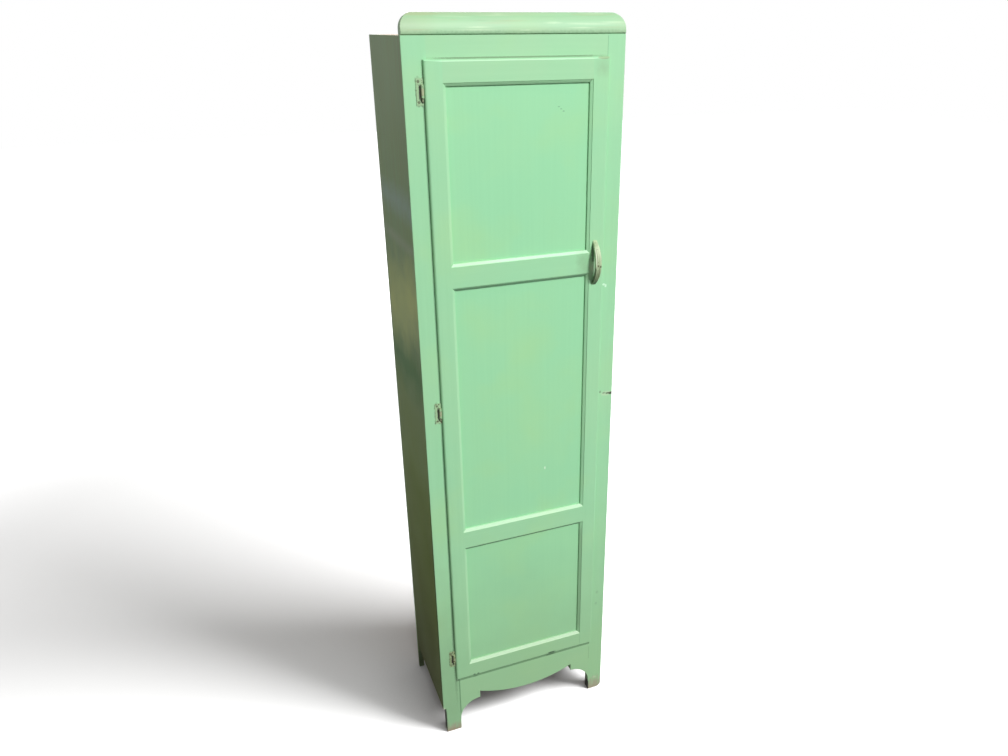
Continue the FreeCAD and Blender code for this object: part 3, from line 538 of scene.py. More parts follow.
# %% The marks: centre, reach, colour, strength and kind
marks = {
    "front_stile_left": [
        # painted shadow of the door's lip on the stile beside it, wider low down, and under its lower
        # corner
        (Vector((door_left - 0.8 * MM, frame_face_y, door_low.z + half_door_height)),
         Vector((3 * MM, 12 * MM, half_door_height + 6 * MM)), "#35603F", 0.42, "line"),
        (Vector((door_left - 0.8 * MM, frame_face_y, door_low.z + 0.5 * half_door_height)),
         Vector((3.4 * MM, 12 * MM, 0.5 * half_door_height)), "#35603F", 0.45, "line"),
        (beside_door(-1, 120), reach(6, 230, 40), "#2F5238", 0.8, "soft"),
        (beside_door(4, -7), reach(6.5, 4.5), "#2C4A30", 0.75, "line"),
        (at(-189.6, 118), reach(1.3, 70), "#3F6B49", 0.5, "line"),
        (at(-214, 150), reach(80, 420, 80), "#7FA37C", 0.42, "soft"),
        (at(-214, -4), reach(60, 36, 60), BARE_END, 0.8, "streaky"),
        (at(-214, -5), reach(60, 15, 60), "#A3907A", 0.9, "streaky"),
        (at(-238, 86), reach(6, 8), "#B9CBAA", 0.75, "frayed"),
        # painted shade on the foot's left face below the side sheet
        (at(-231, 40), reach(2.4, 40, 40), "#1C1810", 0.95, "boxy"),
    ],
    "front_stile_right": [
        (at(217, 0), reach(60, 44, 60), BARE_END, 0.85, "streaky"),
        (at(217, -4), reach(60, 14, 60), "#A39B80", 0.9, "streaky"),
        # painted shade on the foot's inner face under the arch
        (at(196, 12), reach(3, 22, 40), "#15140E", 0.95, "boxy"),
        (at(217, 40), reach(6, 4), "#C9CBB4", 0.5, "frayed"),
        (at(197, 1736), reach(1.0, 23), "#6FA377", 0.5, "line"),
        (at(205, 1229.5), reach(4, 3), "#CFF2D6", 0.9, "frayed"),
        (at(210, 1226), reach(3, 4.5), "#CFF2D6", 0.9, "frayed"),
        (at(222, 950), reach(16, 7), "#C3D9B6", 0.5, "frayed"),
        (at(234, 949), reach(7, 4), "#3C4430", 0.95, "frayed"),
        (at(225, 950), reach(6, 2.6), "#55604A", 0.8, "frayed"),
        (at(215, 952), reach(5, 2.2), "#6E8266", 0.7, "frayed"),
        (at(205, 956), reach(3, 4), "#6E8266", 0.6, "frayed"),
        (at(216, 346), reach(5, 7), "#7BA27A", 0.5, "soft"),
        (at(214, 308), reach(5, 7), "#7BA27A", 0.5, "soft"),
    ],
    "front_top_rail": [
        (at(197, 1736), reach(1.0, 23), "#6FA377", 0.5, "line"),
        # painted shade in the crease above the door's lip
        (Vector((door_middle_x, frame_face_y, door_high.z + 1.5 * MM)),
         Vector((half_door, 12 * MM, 1.8 * MM)), GRIME_AND_SHADE, 0.5, "boxy"),
    ],
    "front_apron": [
        # painted shadow of the door's lip on the apron
        (Vector((door_middle_x, frame_face_y, door_low.z - 7 * MM)),
         Vector((OVERRUN * half_door, 12 * MM, 4.5 * MM)), "#35603B", 0.6, "line"),
        (at(-188.4, 118), reach(1.3, 70), "#3F6B49", 0.55, "line"),
        (at(196.6, 138), reach(1.2, 24), "#5E8A63", 0.4, "line"),
        (at(77, 173), reach(16, 4), "#3A5A3C", 0.6, "frayed"),
        (at(-143, 172), reach(8, 4), "#4E7552", 0.5, "frayed"),
    ],
    "door_stile_right": [
        (at(184, 1698, door_face_y), reach(26, 26), "#8CAC84", 0.4, "soft"),
        (at(186, 1716, door_face_y), reach(16, 3.4), "#8E9A72", 0.6, "frayed"),
        (at(162.6, 203, door_face_y), reach(1.1, 17), "#5E8A63", 0.45, "line"),
        # hand dirt together with the pull's painted shadow
        (handle_middle + Vector((-16, 25, -8)) * MM, reach(22, 50, 34), "#7C8C66", 0.4, "soft"),
        # paler paint in the pull's shadow: a painted light that lifts it
        (handle_middle + Vector((-5, 12, -12)) * MM, reach(11, 26, 30), "#DCE8CC", 0.55, "soft"),
        # painted shade behind the upper end of the bow
        (handle_middle + Vector((-4, 12, 24)) * MM, reach(4, 26, 8), "#26241A", 0.7, "frayed"),
    ],
    "door_rail_upper": [
        # hand dirt together with the pull's painted shadow on the rail
        (handle_middle + Vector((-26, 25, 2)) * MM, reach(26, 50, 26), "#6B7A57", 0.45, "soft"),
    ],
    "door_panel_top": [
        (at(88 + 5.5 * step, 1623 - 4.5 * step, door_face_y), reach(4, 1.6), "#5F8C66", 0.7, "frayed")
        for step in range(3)
    ],
    "door_panel_middle": [
        (at(59, 774), reach(1.6, 4.5), "#E8F8E4", 0.9, "frayed"),
    ],
    "door_rail_bottom": [
        (at(-148, 184, door_face_y), reach(3.6, 3.4), "#33523A", 0.9, "frayed"),
        (at(-137, 184, door_face_y), reach(3.6, 3.4), "#33523A", 0.9, "frayed"),
        (at(78, 185, door_face_y), reach(13, 3.6), "#33523A", 0.9, "frayed"),
        (at(118, 182, door_face_y), reach(5, 2.5), GRIME_AND_SHADE, 0.8, "frayed"),
    ],
    "cornice": [
        (at(0, 1760), Vector((900, 30, 9)) * MM, "#4F7A52", 0.6, "soft"),
        (at(-150, 1799, frame_face_y + 10 * MM), reach(260, 9, 30), "#A9B48C", 0.4, "soft"),
        (at(-228, 1782), reach(75, 50, 60), "#A0B48C", 0.45, "soft"),
        (at(-195, 1797), reach(45, 3, 60), "#A4A274", 0.25, "frayed"),
        (at(165, 1796), reach(60, 3, 60), "#A8A678", 0.2, "frayed"),
    ],
    "side_sheet_left": [
        # painted reflections in two pale bands high on the side
        (at(-237, 1432, 60 * MM), reach(900, 44, 900), "#BCD6D2", 0.5, "soft"),
        (at(-237, 1345, 60 * MM), reach(900, 20, 900), "#C6D2BE", 0.4, "soft"),
        # darker and browner towards the floor, with a darker band
        (at(-237, 500, 20 * MM), reach(900, 700, 900), "#6E8219", 0.75, "soft"),
        (at(-237, 700, 20 * MM), reach(900, 460, 900), "#70853C", 0.45, "soft"),
        (at(-237, 1045, 20 * MM), reach(900, 100, 900), "#4F8454", 0.6, "soft"),
        (at(-237, 60, 20 * MM), reach(900, 690, 900), "#34270A", 0.8, "soft"),
        # a painted warm reflection in a pale yellow band
        (at(-237, 1228, -90 * MM), reach(900, 115, 230), "#DDEBA6", 0.85, "soft"),
        (at(-237, 1172, 110 * MM), reach(900, 120, 230), "#DDEBA6", 0.85, "soft"),
        (at(-237, 420, frame_face_y + 4 * MM), reach(40, 560, 9), "#1E3A1C", 0.6, "soft"),
        (at(-237, 900, 152 * MM), reach(40, 900, 12), "#2F3324", 0.5, "soft"),
    ],
}
for place in hinge_levels.values():
    marks["front_stile_left"].append((place, reach(9.2, 27.2), "#5D6446", 0.75, "boxy"))

CORNICE_SCUFFS = 22
wear = random.Random(11)
for _ in range(CORNICE_SCUFFS):
    marks["cornice"].append((at(wear.uniform(-225, 230), wear.uniform(1766, 1799)),
                             reach(wear.uniform(10, 60), wear.uniform(1.2, 3.0), 60),
                             wear.choice(("#C9E4BE", "#8DAA84", "#A9B189")),
                             wear.uniform(0.25, 0.5), "soft"))
print("%d marks on" % sum(map(len, marks.values())), ", ".join(sorted(marks)))

# %% Painted light and shade on the mouldings
# A 6 mm moulding runs round each panel, and the panel's edge lies in a groove behind it. The light
# falls from above and a little from the right, and its effect is painted: a painted highlight on the
# ledge under a panel and a faint one on the moulding on its left, painted shade on the moulding above
# it and on the one on its right, most of all low down.
MOULDING_REACH = 4.2 * MM
PANEL_EDGE_TO_MOULDING = 5 * MM  # from a panel's hidden edge to the middle of the moulding
SHADE_REACH = 2.8 * MM
PANEL_EDGE_TO_SHADE = 6.4 * MM
PAINTED_LEDGE_HIGHLIGHT, PAINTED_SHADE_ABOVE, PAINTED_HIGHLIGHT_LEFT, PAINTED_SHADE_RIGHT = "#E9FBE2", "#3C6B48", "#DDF4D6", "#5F7B5C"
for panel, rail_below, rail_above, highlight_strength, shade_above_strength, shade_right_strength in (
        ("bottom", "bottom", "lower", 0.45, 0.75, 0.40),
        ("middle", "lower", "upper", 0.40, 0.75, 0.15),
        ("top", "upper", "top", 0.08, 0.30, 0.0)):
    panel_low, panel_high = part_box("door_panel_" + panel)
    middle = (panel_low + panel_high) / 2
    half = (panel_high - panel_low) / 2
    for node, x, z, size_x, size_z, colour, strength in (
            ("door_rail_" + rail_below, middle.x, panel_low.z + PANEL_EDGE_TO_MOULDING,
             OVERRUN * half.x, MOULDING_REACH, PAINTED_LEDGE_HIGHLIGHT, highlight_strength),
            ("door_rail_" + rail_above, middle.x, panel_high.z - PANEL_EDGE_TO_SHADE,
             OVERRUN * half.x, SHADE_REACH, PAINTED_SHADE_ABOVE, shade_above_strength),
            ("door_stile_left", panel_low.x + PANEL_EDGE_TO_MOULDING, middle.z,
             MOULDING_REACH, half.z, PAINTED_HIGHLIGHT_LEFT, 0.10),
            ("door_stile_right", panel_high.x - PANEL_EDGE_TO_MOULDING, middle.z,
             MOULDING_REACH, half.z, PAINTED_SHADE_RIGHT, shade_right_strength)):
        marks.setdefault(node, []).append((Vector((x, door_face_y, z)),
                                           Vector((size_x, 20 * MM, size_z)), colour, strength, "line"))
    print("%s panel: %.0f x %.0f mm with its hidden edges" % (panel, 2 * half.x / MM, 2 * half.z / MM))

# %% [markdown]
# ## Boards with eased edges
#
# No hand-painted board has a knife edge: the plane takes it off and the paint rounds it further,
# and that thin round catches the light. The frame's boards are sharp, so each one is copied, its
# flat faces are made whole again, and its long outer edges are rounded in the mesh. Where a board
# butts against the next one the edge stays almost sharp, which leaves the hairline of a joint.
#
# The rounded faces carry an attribute, so the paint knows where an arris is. Faces on the bare side
# of a board take pine instead of paint.

# %% Whole faces and joints
FLAT_ANGLE = math.radians(0.3)   # facets that turn less than this are one face
JOINT_GAP = 0.2 * MM             # boards nearer than this meet in a joint
boxes = {node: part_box(node) for node in frame["nodes"]}


def meets_neighbour(node, point):
    """Whether a point of one board lies on another board of the same body."""
    return any(all(box[0][i] - JOINT_GAP <= point[i] <= box[1][i] + JOINT_GAP for i in range(3))
               for other, box in boxes.items()
               if other != node and body_of[other] == body_of[node])


def whole_faces(node):
    """The node's mesh as a bmesh, welded and with its flat faces made whole."""
    source = frame["nodes"][node].data
    form = bmesh.new()
    for vertex in source.vertices:
        form.verts.new(vertex.co)
    form.verts.ensure_lookup_table()
    for polygon in source.polygons:
        form.faces.new([form.verts[i] for i in polygon.vertices])
    bmesh.ops.remove_doubles(form, verts=form.verts, dist=0.001 * MM)
    bmesh.ops.dissolve_limit(form, angle_limit=FLAT_ANGLE, verts=form.verts, edges=form.edges)
    return form


# %% Stand-ins for CAD pieces
SMOOTH_ANGLE = math.radians(35)  # faces that meet at less than this shade as one


def stand_in(node, form, materials, name):
    """A piece made of this bmesh, which rides and stands for the CAD node."""
    mesh = bpy.data.meshes.new(name)
    form.to_mesh(mesh)
    form.free()
    mesh.shade_smooth()
    mesh.set_sharp_from_angle(angle=SMOOTH_ANGLE)
    for material in materials:
        mesh.materials.append(material)
    piece = bpy.data.objects.new(name, mesh)
    bpy.context.scene.collection.objects.link(piece)
    keeper = piece.modifiers.new("flat faces stay flat", "WEIGHTED_NORMAL")
    keeper.keep_sharp = True
    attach(piece, body_of[node])
    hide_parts(node)
    return piece


# %% Eased edges
EASE = 0.6 * MM                  # the round of a planed and painted arris
JOINT_EASE = 0.15 * MM           # where a board butts against the next
EDGE_ANGLE = math.radians(30)    # two faces that turn more than this meet in an edge
SHORTEST_EDGE = 2.5 * MM         # shorter ones, such as those of a small curve, stay as they are


def ease(form, edges, width):
    """Round these edges and return the new faces."""
    made = bmesh.ops.bevel(form, geom=edges, offset=width, segments=3, profile=0.5, affect="EDGES",
                           clamp_overlap=True)
    return made["faces"]


def eased_board(node, outer, others=(), width=EASE):
    """A copy of a CAD board with rounded edges, in the outer finish.

    others pairs a direction with the finish of the faces that look that way.
    """
    form = whole_faces(node)
    arris = form.faces.layers.float.new("arris")
    sharp = [e for e in form.edges if len(e.link_faces) == 2 and e.is_convex
             and e.calc_face_angle() > EDGE_ANGLE and e.calc_length() > SHORTEST_EDGE]
    joints = [e for e in sharp if meets_neighbour(node, (e.verts[0].co + e.verts[1].co) / 2)]
    free = [e for e in sharp if e not in set(joints)]
    rounded = ease(form, free, width)
    ease(form, [e for e in joints if e.is_valid], JOINT_EASE)
    for face in rounded:
        if face.is_valid:
            face[arris] = 1.0
    for index, (direction, _) in enumerate(others, start=1):
        for face in form.faces:
            if face.normal.dot(Vector(direction)) > 0.5:
                face.material_index = index
    return stand_in(node, form, [outer] + [finish for _, finish in others], node + "_eased")


# %% The painted front and the door
TO_FRONT, TO_BACK, TO_LEFT, TO_RIGHT = (0, -1, 0), (0, 1, 0), (-1, 0, 0), (1, 0, 0)
for node in ("front_stile_left", "front_stile_right", "door_stile_left", "door_stile_right"):
    paint = oil_paint("oil_paint_" + node, "z", marks.get(node, ()), STILE_COAT)
    eased_board(node, paint, [(TO_BACK, pine["z"])])
for node, coat, sound in (("front_top_rail", YELLOWISH_COAT, SOUND_ARRIS),
                          ("front_apron", YELLOWISH_COAT, WORN_ARRIS),
                          ("door_rail_bottom", YELLOWISH_COAT, SOUND_ARRIS),
                          ("door_rail_lower", STILE_COAT, SOUND_ARRIS),
                          ("door_rail_upper", STILE_COAT, SOUND_ARRIS),
                          ("door_rail_top", YELLOWISH_COAT, SOUND_ARRIS)):
    paint = oil_paint("oil_paint_" + node, "x", marks.get(node, ()), coat, sound=sound)
    eased_board(node, paint, [(TO_BACK, pine["x"])])
for node in ("door_panel_bottom", "door_panel_middle", "door_panel_top"):
    paint = oil_paint("oil_paint_" + node, "z", marks.get(node, ()), BLUISH_COAT, brushed=0.2)
    eased_board(node, paint, [(TO_BACK, pine["z"])])
paint = oil_paint("oil_paint_cornice", "x", marks["cornice"], FADED_COAT, gloss=0.4,
                  roughness=0.5, brushed=0.9)
eased_board("cornice", paint)
print("eased the painted boards by %.1f mm, and %.2f mm at joints" % (EASE / MM, JOINT_EASE / MM))

# %% The sides and the back
# The sheets take the same paint, dulled by dust. The left one shows its front edge beside the stile,
# so that edge has the stile's coat and marks.
edge_paint = oil_paint("oil_paint_sheet_edges", "z", marks["front_stile_left"], STILE_COAT)
# The left side's marks lay painted reflections in pale bands over a coat that grows darker and browner
# towards the floor.
left_paint_with_reflections = oil_paint("dulled_oil_paint_left_side_painted_reflections", "z", marks["side_sheet_left"], dulled=0.5,
                       gloss=0.12, roughness=0.55)
right_paint = oil_paint("oil_paint_right_side", "z", coat=STILE_COAT, dulled=0.25, gloss=0.12,
                        roughness=0.6)
eased_board("side_sheet_left", left_paint_with_reflections, [(TO_RIGHT, pine["z"]), (TO_FRONT, edge_paint)])
eased_board("side_sheet_right", right_paint, [(TO_LEFT, pine["z"])])
# painted shade on the back board below the bottom board, seen under the cupboard
painted_shade_at_foot = [(at(0, 20), reach(900, 190, 900), "#2A2412", 0.9, "soft")]
back_paint = oil_paint("oil_paint_back_board", "z", painted_shade_at_foot, dulled=0.4, gloss=0.2, roughness=0.55)
eased_board("back_board", back_paint, [(TO_BACK, pine["back"])])
print("painted finishes:", sum("oil_paint" in material.name for material in bpy.data.materials))

# %% The bare boards inside
level_boards = ("top_board", "bottom_board", "shelf_1", "shelf_2", "shelf_3", "shelf_4",
                "shelf_cleats_left", "shelf_cleats_right")
upright_battens = ("back_batten_left", "back_batten_right", "front_batten_right")
for node in level_boards:
    eased_board(node, pine["x"])
for node in upright_battens:
    eased_board(node, pine["z"])
print("bare boards: %d level and %d upright" % (len(level_boards), len(upright_battens)))

# %% [markdown]
# ## Metal under old paint
#
# The hinges and the pull were painted over with the cupboard, brush and all. On small steel that
# coat chips, rust creeps in from the rims and dirt packs into the gap beside each barrel, which is
# painted dark for that dirt and for the shade in the gap. The steel could be drawn as rust with
# paint masked over it, or as paint with rust masked over it: the first is what happened on the
# bench, and every chip then shows what really lies under it.

# %% Painted-over steel
PIT_SIZE = 1.6 * MM              # rust pits are finer, and these are as small as show
FLAKE_SIZE = 4 * MM              # the flakes in which paint leaves steel
FLAKE_DEPTH = 0.15 * MM
DARK_RUST, LIGHT_RUST = "#2A2218", "#6B5038"


def painted_over_steel(name, coat, kept, marks=(), gloss=0.35):
    """Rusty steel under brushed-on paint; kept is the part that still has its paint."""
    material, tree, output = new_material(name)
    point = add(tree, "TexCoord").outputs["Object"]
    pits = add(tree, "TexNoise", {"Vector": point, "Scale": 1 / PIT_SIZE, "Detail": 3.0})
    rust = add(tree, "Mix", {"Factor": pits, "A": DARK_RUST, "B": LIGHT_RUST}, data_type="RGBA")
    flakes = add(tree, "TexNoise", {"Vector": point, "Scale": 1 / FLAKE_SIZE, "Detail": 4.0})
    worn = add(tree, "Attribute", {}, attribute_name="arris").outputs["Fac"]
    sound = add(tree, "Math", {0: worn, 1: -0.10, 2: flakes}, operation="MULTIPLY_ADD")
    limit = 0.68 - 0.36 * kept   # the level of the noise above which this much of the coat is left
    sound = add(tree, "MapRange", {"Value": sound, "From Min": limit, "From Max": limit + 0.03})
    colour = add(tree, "Mix", {"Factor": sound, "A": rust, "B": coat}, data_type="RGBA")
    for centre, extent, stain, strength, kind in marks:
        mask = mark_mask(tree, point, centre, extent, kind)
        colour = lay_over(tree, colour, mask, strength, stain)
    rough = add(tree, "MapRange", {"Value": sound, "To Min": 0.85, "To Max": 0.48})
    relief = add(tree, "Math", {0: sound, 1: 0.5, 2: pits}, operation="MULTIPLY_ADD")
    bump = add(tree, "Bump", {"Strength": 0.5, "Distance": FLAKE_DEPTH, "Height": relief})
    skin = add(tree, "BsdfPrincipled", {"Base Color": colour, "Roughness": rough, "IOR": 1.5,
                                        "Specular IOR Level": gloss, "Normal": bump})
    tree.links.new(skin.outputs[0], output.inputs["Surface"])
    return material


# %% The hinges
# Each coat has its colour and the part of it that is left: the lowest hinge has lost the most.
HINGE_COATS = {"top": ("#9BBE93", 0.93), "middle": ("#A2C69A", 0.90), "bottom": ("#94AA80", 0.72)}
BARREL_COAT = "#A9B28F"
LEAF_EASE, PIN_EASE = 0.2 * MM, 0.1 * MM
for level, place in hinge_levels.items():
    coat, kept = HINGE_COATS[level]
    # dirt and painted shade in the gap beside the barrel and round the lower end of the pin
    gap_dirt_and_shade = [(place + Vector((-0.3, 0, -1)) * MM, reach(2.2, 15.5), "#24221A", 0.95, "boxy"),
                   (place + Vector((4.4, 0, -16)) * MM, reach(5, 5.5), "#1E1C12", 0.9, "frayed")]
    hinge_steel = painted_over_steel("painted_over_hinge_steel_" + level, coat, kept, gap_dirt_and_shade)
    knuckle_steel = painted_over_steel("painted_over_barrel_" + level, BARREL_COAT, kept)
    eased_board("hinge_frame_leaf_" + level, hinge_steel, width=LEAF_EASE)
    eased_board("hinge_door_leaf_" + level, knuckle_steel, width=LEAF_EASE)
    eased_board("hinge_pin_" + level, knuckle_steel, width=PIN_EASE)
    print("%s hinge keeps %.0f%% of its coat" % (level, 100 * kept))

# %% [markdown]
# ## The pull
#
# The pull is a cast bow: a crescent from the side, and from the front widest in the middle, with no
# corner left sharp under so many coats. In the frame it is a chamfered blank. Here it is lofted
# again through the same outline: at each station along the bow a rounded section spans from the
# hollow side to the outer side. Sculpting by hand would do, but stations keep the true sizes.

# %% The pull's two curves
STATIONS, SECTION_POINTS = 40, 20
FOOT_LENGTH = 10.5 * MM          # how much of each end lies flat on the door
GRIP_THICKNESS = 7.5 * MM
FOOT_WIDTH = 11 * MM
SECTION_SQUARENESS = 0.5         # 1 is an ellipse, near 0 a square


def bow_curve(half_length, depth):
    """Points of a circular bow from foot to foot: distance out from the door, height from the middle."""
    radius = (half_length ** 2 + depth ** 2) / (2 * depth)
    spread = math.asin(half_length / radius)
    turns = [spread * (2 * i / (STATIONS - 1) - 1) for i in range(STATIONS)]
    return [(radius * math.cos(turn) - radius + depth, radius * math.sin(turn)) for turn in turns]


# %% Loft the pull
def squared(value):
    """A sine or cosine pushed outwards, which squares the section that it draws."""
    return math.copysign(abs(value) ** SECTION_SQUARENESS, value)


def loft_pull():
    """A bow whose rounded sections span between the hollow and the outer curve."""
    half_length = (handle_high.z - handle_low.z) / 2
    full_width = handle_high.x - handle_low.x
    depth = handle_high.y - handle_low.y
    outer = bow_curve(half_length, depth)
    inner = bow_curve(half_length - FOOT_LENGTH, depth - GRIP_THICKNESS)
    form = bmesh.new()
    rings = []
    for (out_y, out_z), (in_y, in_z) in zip(outer, inner):
        width = FOOT_WIDTH + (full_width - FOOT_WIDTH) * (1 - (out_z / half_length) ** 2)
        ring = []
        for i in range(SECTION_POINTS):
            turn = 2 * math.pi * i / SECTION_POINTS
            across = squared(math.cos(turn)) * width / 2
            along = (1 + squared(math.sin(turn))) / 2
            spot = Vector((handle_middle.x + across, handle_high.y - (in_y + (out_y - in_y) * along),
                           handle_middle.z + in_z + (out_z - in_z) * along))
            ring.append(form.verts.new(spot))
        rings.append(ring)
    for first, second in zip(rings, rings[1:]):
        for i in range(SECTION_POINTS):
            j = (i + 1) % SECTION_POINTS
            form.faces.new((first[i], first[j], second[j], second[i]))
    form.faces.new(rings[0][::-1])
    form.faces.new(rings[-1])
    bmesh.ops.recalc_face_normals(form, faces=form.faces)
    form.faces.layers.float.new("arris")     # left empty: a round bar has no arris
    return form


# %% The pull's coat, wear and painted light
def on_pull(across, up):
    """A point on the pull, from millimetres right of its middle and above it."""
    return handle_middle + Vector((across * MM, 0, up * MM))


pull_marks = [
    # paler high up, darker on the lower half
    (on_pull(3, 24), reach(7, 30, 40), "#D6E6C4", 0.7, "soft"),
    (on_pull(2, 12), reach(8, 22, 40), "#8A9A7C", 0.5, "soft"),
    (on_pull(2, -34), reach(10, 42, 40), "#6A7E5A", 0.95, "soft"),
    # painted shade on the lower half of the bow's left flank
    (on_pull(-6.5, -26), reach(2.2, 26, 40), "#414C38", 0.8, "frayed"),
    # a painted highlight along the bow's upper left edge
    (on_pull(-5.6, 16), reach(1.3, 26, 40), "#E4F2D6", 0.8, "frayed"),
    (on_pull(-3.4, 14), reach(1.0, 26, 40), "#6B6048", 0.7, "frayed"),
    (on_pull(1.2, 18), reach(0.8, 30, 40), "#7F8C68", 0.5, "frayed"),
    (on_pull(0, -47), reach(12, 14, 30), "#3A5440", 0.85, "soft"),
    (on_pull(-1.5, -2), reach(2.2, 3, 40), "#4A4632", 0.8, "frayed"),
    (on_pull(4.5, -4), reach(2.8, 3, 40), "#4A4632", 0.8, "frayed"),
    (on_pull(-2, 44), reach(8, 5, 40), "#93A880", 0.45, "frayed"),
    (on_pull(2, -16), reach(1.2, 14, 40), "#4E4A36", 0.6, "frayed"),
    (on_pull(-2.5, -26), reach(1.0, 16, 40), "#4E5A40", 0.6, "frayed"),
]
pull_paint = painted_over_steel("painted_over_cast_pull", "#AFC49C", 0.97, pull_marks, gloss=0.25)
pull = stand_in("door_handle", loft_pull(), [pull_paint], "door_handle_lofted")
print("pull: %.0f mm long, %d faces" % ((handle_high.z - handle_low.z) / MM, len(pull.data.polygons)))

# %% [markdown]
# ## Old slotted screws
#
# The screws are old slotted ones. A slot is cut into each head the way a saw does it: a thin block
# is taken out across the head, at a turn of its own, because nobody lines screws up. Drawing the
# slot in the material would leave it flat when the light comes from the side.

# %% Find the screws' heads
RIM_DEPTH = 0.05 * MM            # points this close to an end lie on its rim


def screw_islands(form):
    """The separate screws of a node, as lists of vertices."""
    waiting = set(form.verts)
    while waiting:
        group, edge = set(), [waiting.pop()]
        while edge:
            vertex = edge.pop()
            group.add(vertex)
            near = {e.other_vert(vertex) for e in vertex.link_edges} & waiting
            waiting -= near
            edge.extend(near)
        yield [vertex.co.copy() for vertex in group]


def head_of(points):
    """Middle, radius and outward direction of a screw's head: its wider end."""
    spans = [max(p[i] for p in points) - min(p[i] for p in points) for i in range(3)]
    along = spans.index(max(spans))
    middle = sum(points, Vector()) / len(points)
    ends = []
    for pick, sign in ((min, -1), (max, 1)):
        level = pick(p[along] for p in points)
        rim = [p for p in points if abs(p[along] - level) < RIM_DEPTH]
        centre = sum(rim, Vector()) / len(rim)
        ends.append((max((p - centre).length for p in rim), sign, level))
    radius, sign, level = max(ends)
    middle[along] = level
    outward = Vector((0, 0, 0))
    outward[along] = sign
    return middle, radius, outward


# %% Saw the slots
SLOT_WIDTH, SLOT_DEPTH = 0.9 * MM, 0.7 * MM
PAST_THE_RIM = 1.1               # half the block's length, as a share of the head's radius


def slot_cutter(form, middle, radius, outward, turn):
    """Add one thin block across a head to the form of all cutters."""
    frame_turn = outward.to_track_quat("Z", "Y").to_matrix().to_4x4()
    block = bmesh.ops.create_cube(form, size=2.0)["verts"]
    shape = (Matrix.Translation(middle) @ frame_turn @ Matrix.Rotation(turn, 4, "Z")
             @ Matrix.Diagonal((radius * PAST_THE_RIM, SLOT_WIDTH / 2, SLOT_DEPTH, 1.0)))
    bmesh.ops.transform(form, matrix=shape, verts=block)


def slotted_screws(node, finish, turns):
    """A copy of the node's screws with a slot sawn into every head."""
    form = whole_faces(node)
    cutters = bmesh.new()
    heads = sorted((head_of(points) for points in screw_islands(form)),
                   key=lambda head: tuple(head[0]))
    for middle, radius, outward in heads:
        slot_cutter(cutters, middle, radius, outward, turns.random() * math.pi)
    blade_mesh = bpy.data.meshes.new("slot_blades")
    cutters.to_mesh(blade_mesh)
    cutters.free()
    blades = bpy.data.objects.new("slot_blades", blade_mesh)
    bpy.context.scene.collection.objects.link(blades)
    form.faces.layers.float.new("arris")     # left empty, as on the pull
    piece = stand_in(node, form, [finish], node + "_slotted")
    saw = piece.modifiers.new("saw the slots", "BOOLEAN")
    saw.object, saw.operation, saw.solver = blades, "DIFFERENCE", "EXACT"
    sawn = piece.evaluated_get(bpy.context.evaluated_depsgraph_get())
    cut = bpy.data.meshes.new_from_object(sawn)
    piece.modifiers.clear()
    piece.data = cut
    bpy.data.objects.remove(blades)
    return len(heads)


turns = random.Random(7)
painted_screw = painted_over_steel("painted_over_screws", "#6F8062", 0.85)
old_screw = painted_over_steel("rusty_screw_steel", "#6B6459", 0.7)
count = slotted_screws("frame_leaf_screws", painted_screw, turns)
for node in ("door_leaf_screws", "handle_screws", "catch_screws", "strike_screw"):
    count += slotted_screws(node, old_screw, turns)
print("slots sawn:", count)

# %% [markdown]
# ## Plates, nails and the catch
#
# Inside, a magnetic catch holds the door: two bright steel poles in a small case of moulded brown
# plastic, and a strike plate of zinc-plated sheet. Bright steel is a metal all over, so its colour
# is that of its reflection, streaked by the roller or the die and dimmed by tarnish. The plastic has
# a soft even shine, broken by the grain of its mould. All of it keeps its CAD form, with its edges
# eased as those of the boards are.

# %% Bright steel and moulded plastic
SCRATCH_WIDTH, SCRATCH_LENGTH = 0.4 * MM, 20 * MM    # real scratches are finer, and these show
TARNISH_SIZE = 5 * MM
MOULD_GRAIN, GRAIN_DEPTH = 0.5 * MM, 0.05 * MM


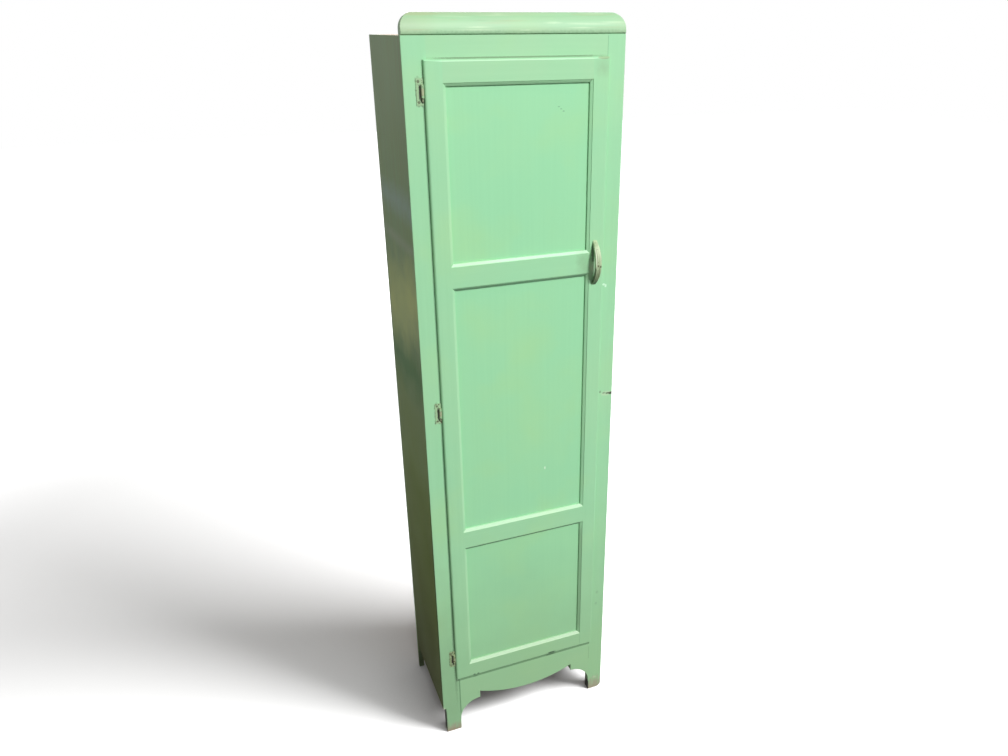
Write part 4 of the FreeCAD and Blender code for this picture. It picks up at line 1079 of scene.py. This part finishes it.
def bright_steel(name, colour, roughness):
    """Rolled steel sheet or drawn wire with fine scratches and a little tarnish."""
    material, tree, output = new_material(name)
    point = add(tree, "TexCoord").outputs["Object"]
    scratches = stretched_noise(tree, point, "x", SCRATCH_WIDTH, SCRATCH_LENGTH)
    tarnish = add(tree, "TexNoise", {"Vector": point, "Scale": 1 / TARNISH_SIZE, "Detail": 4.0})
    tarnish = add(tree, "MapRange", {"Value": tarnish, "From Min": 0.5, "From Max": 0.8})
    tone = lay_over(tree, colour, tarnish, 0.6, "#4A3B2C")
    rough = add(tree, "MapRange", {"Value": scratches, "To Min": roughness - 0.08,
                                   "To Max": roughness + 0.12})
    steel = add(tree, "BsdfPrincipled", {"Base Color": tone, "Metallic": 1.0, "Roughness": rough})
    tree.links.new(steel.outputs[0], output.inputs["Surface"])
    return material


def moulded_plastic(name, colour):
    """Moulded plastic with the fine grain of its mould."""
    material, tree, output = new_material(name)
    point = add(tree, "TexCoord").outputs["Object"]
    grain = add(tree, "TexNoise", {"Vector": point, "Scale": 1 / MOULD_GRAIN, "Detail": 2.0})
    bump = add(tree, "Bump", {"Strength": 0.2, "Distance": GRAIN_DEPTH, "Height": grain})
    plastic = add(tree, "BsdfPrincipled", {"Base Color": colour, "Roughness": 0.45, "IOR": 1.49,
                                           "Normal": bump})
    tree.links.new(plastic.outputs[0], output.inputs["Surface"])
    return material


# %% Finish the plates, poles, nails and case
PLATE_EASE, NAIL_EASE, CASE_EASE = 0.15 * MM, 0.05 * MM, 0.8 * MM
plated = bright_steel("zinc_plated_sheet_steel", "#A7A49C", 0.35)
for node in ("strike_plate", "catch_poles"):
    eased_board(node, plated, width=PLATE_EASE)
eased_board("back_nails", bright_steel("drawn_wire_steel", "#7E7A70", 0.5), width=NAIL_EASE)
eased_board("catch_case", moulded_plastic("brown_moulded_plastic", "#4A3628"), width=CASE_EASE)
print("finishes made:", len(bpy.data.materials))

# %% Measure the dressed cupboard
new_box = [list(corner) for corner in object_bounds()]
print("size:", [[round(c / MM, 2) for c in corner] for corner in new_box])
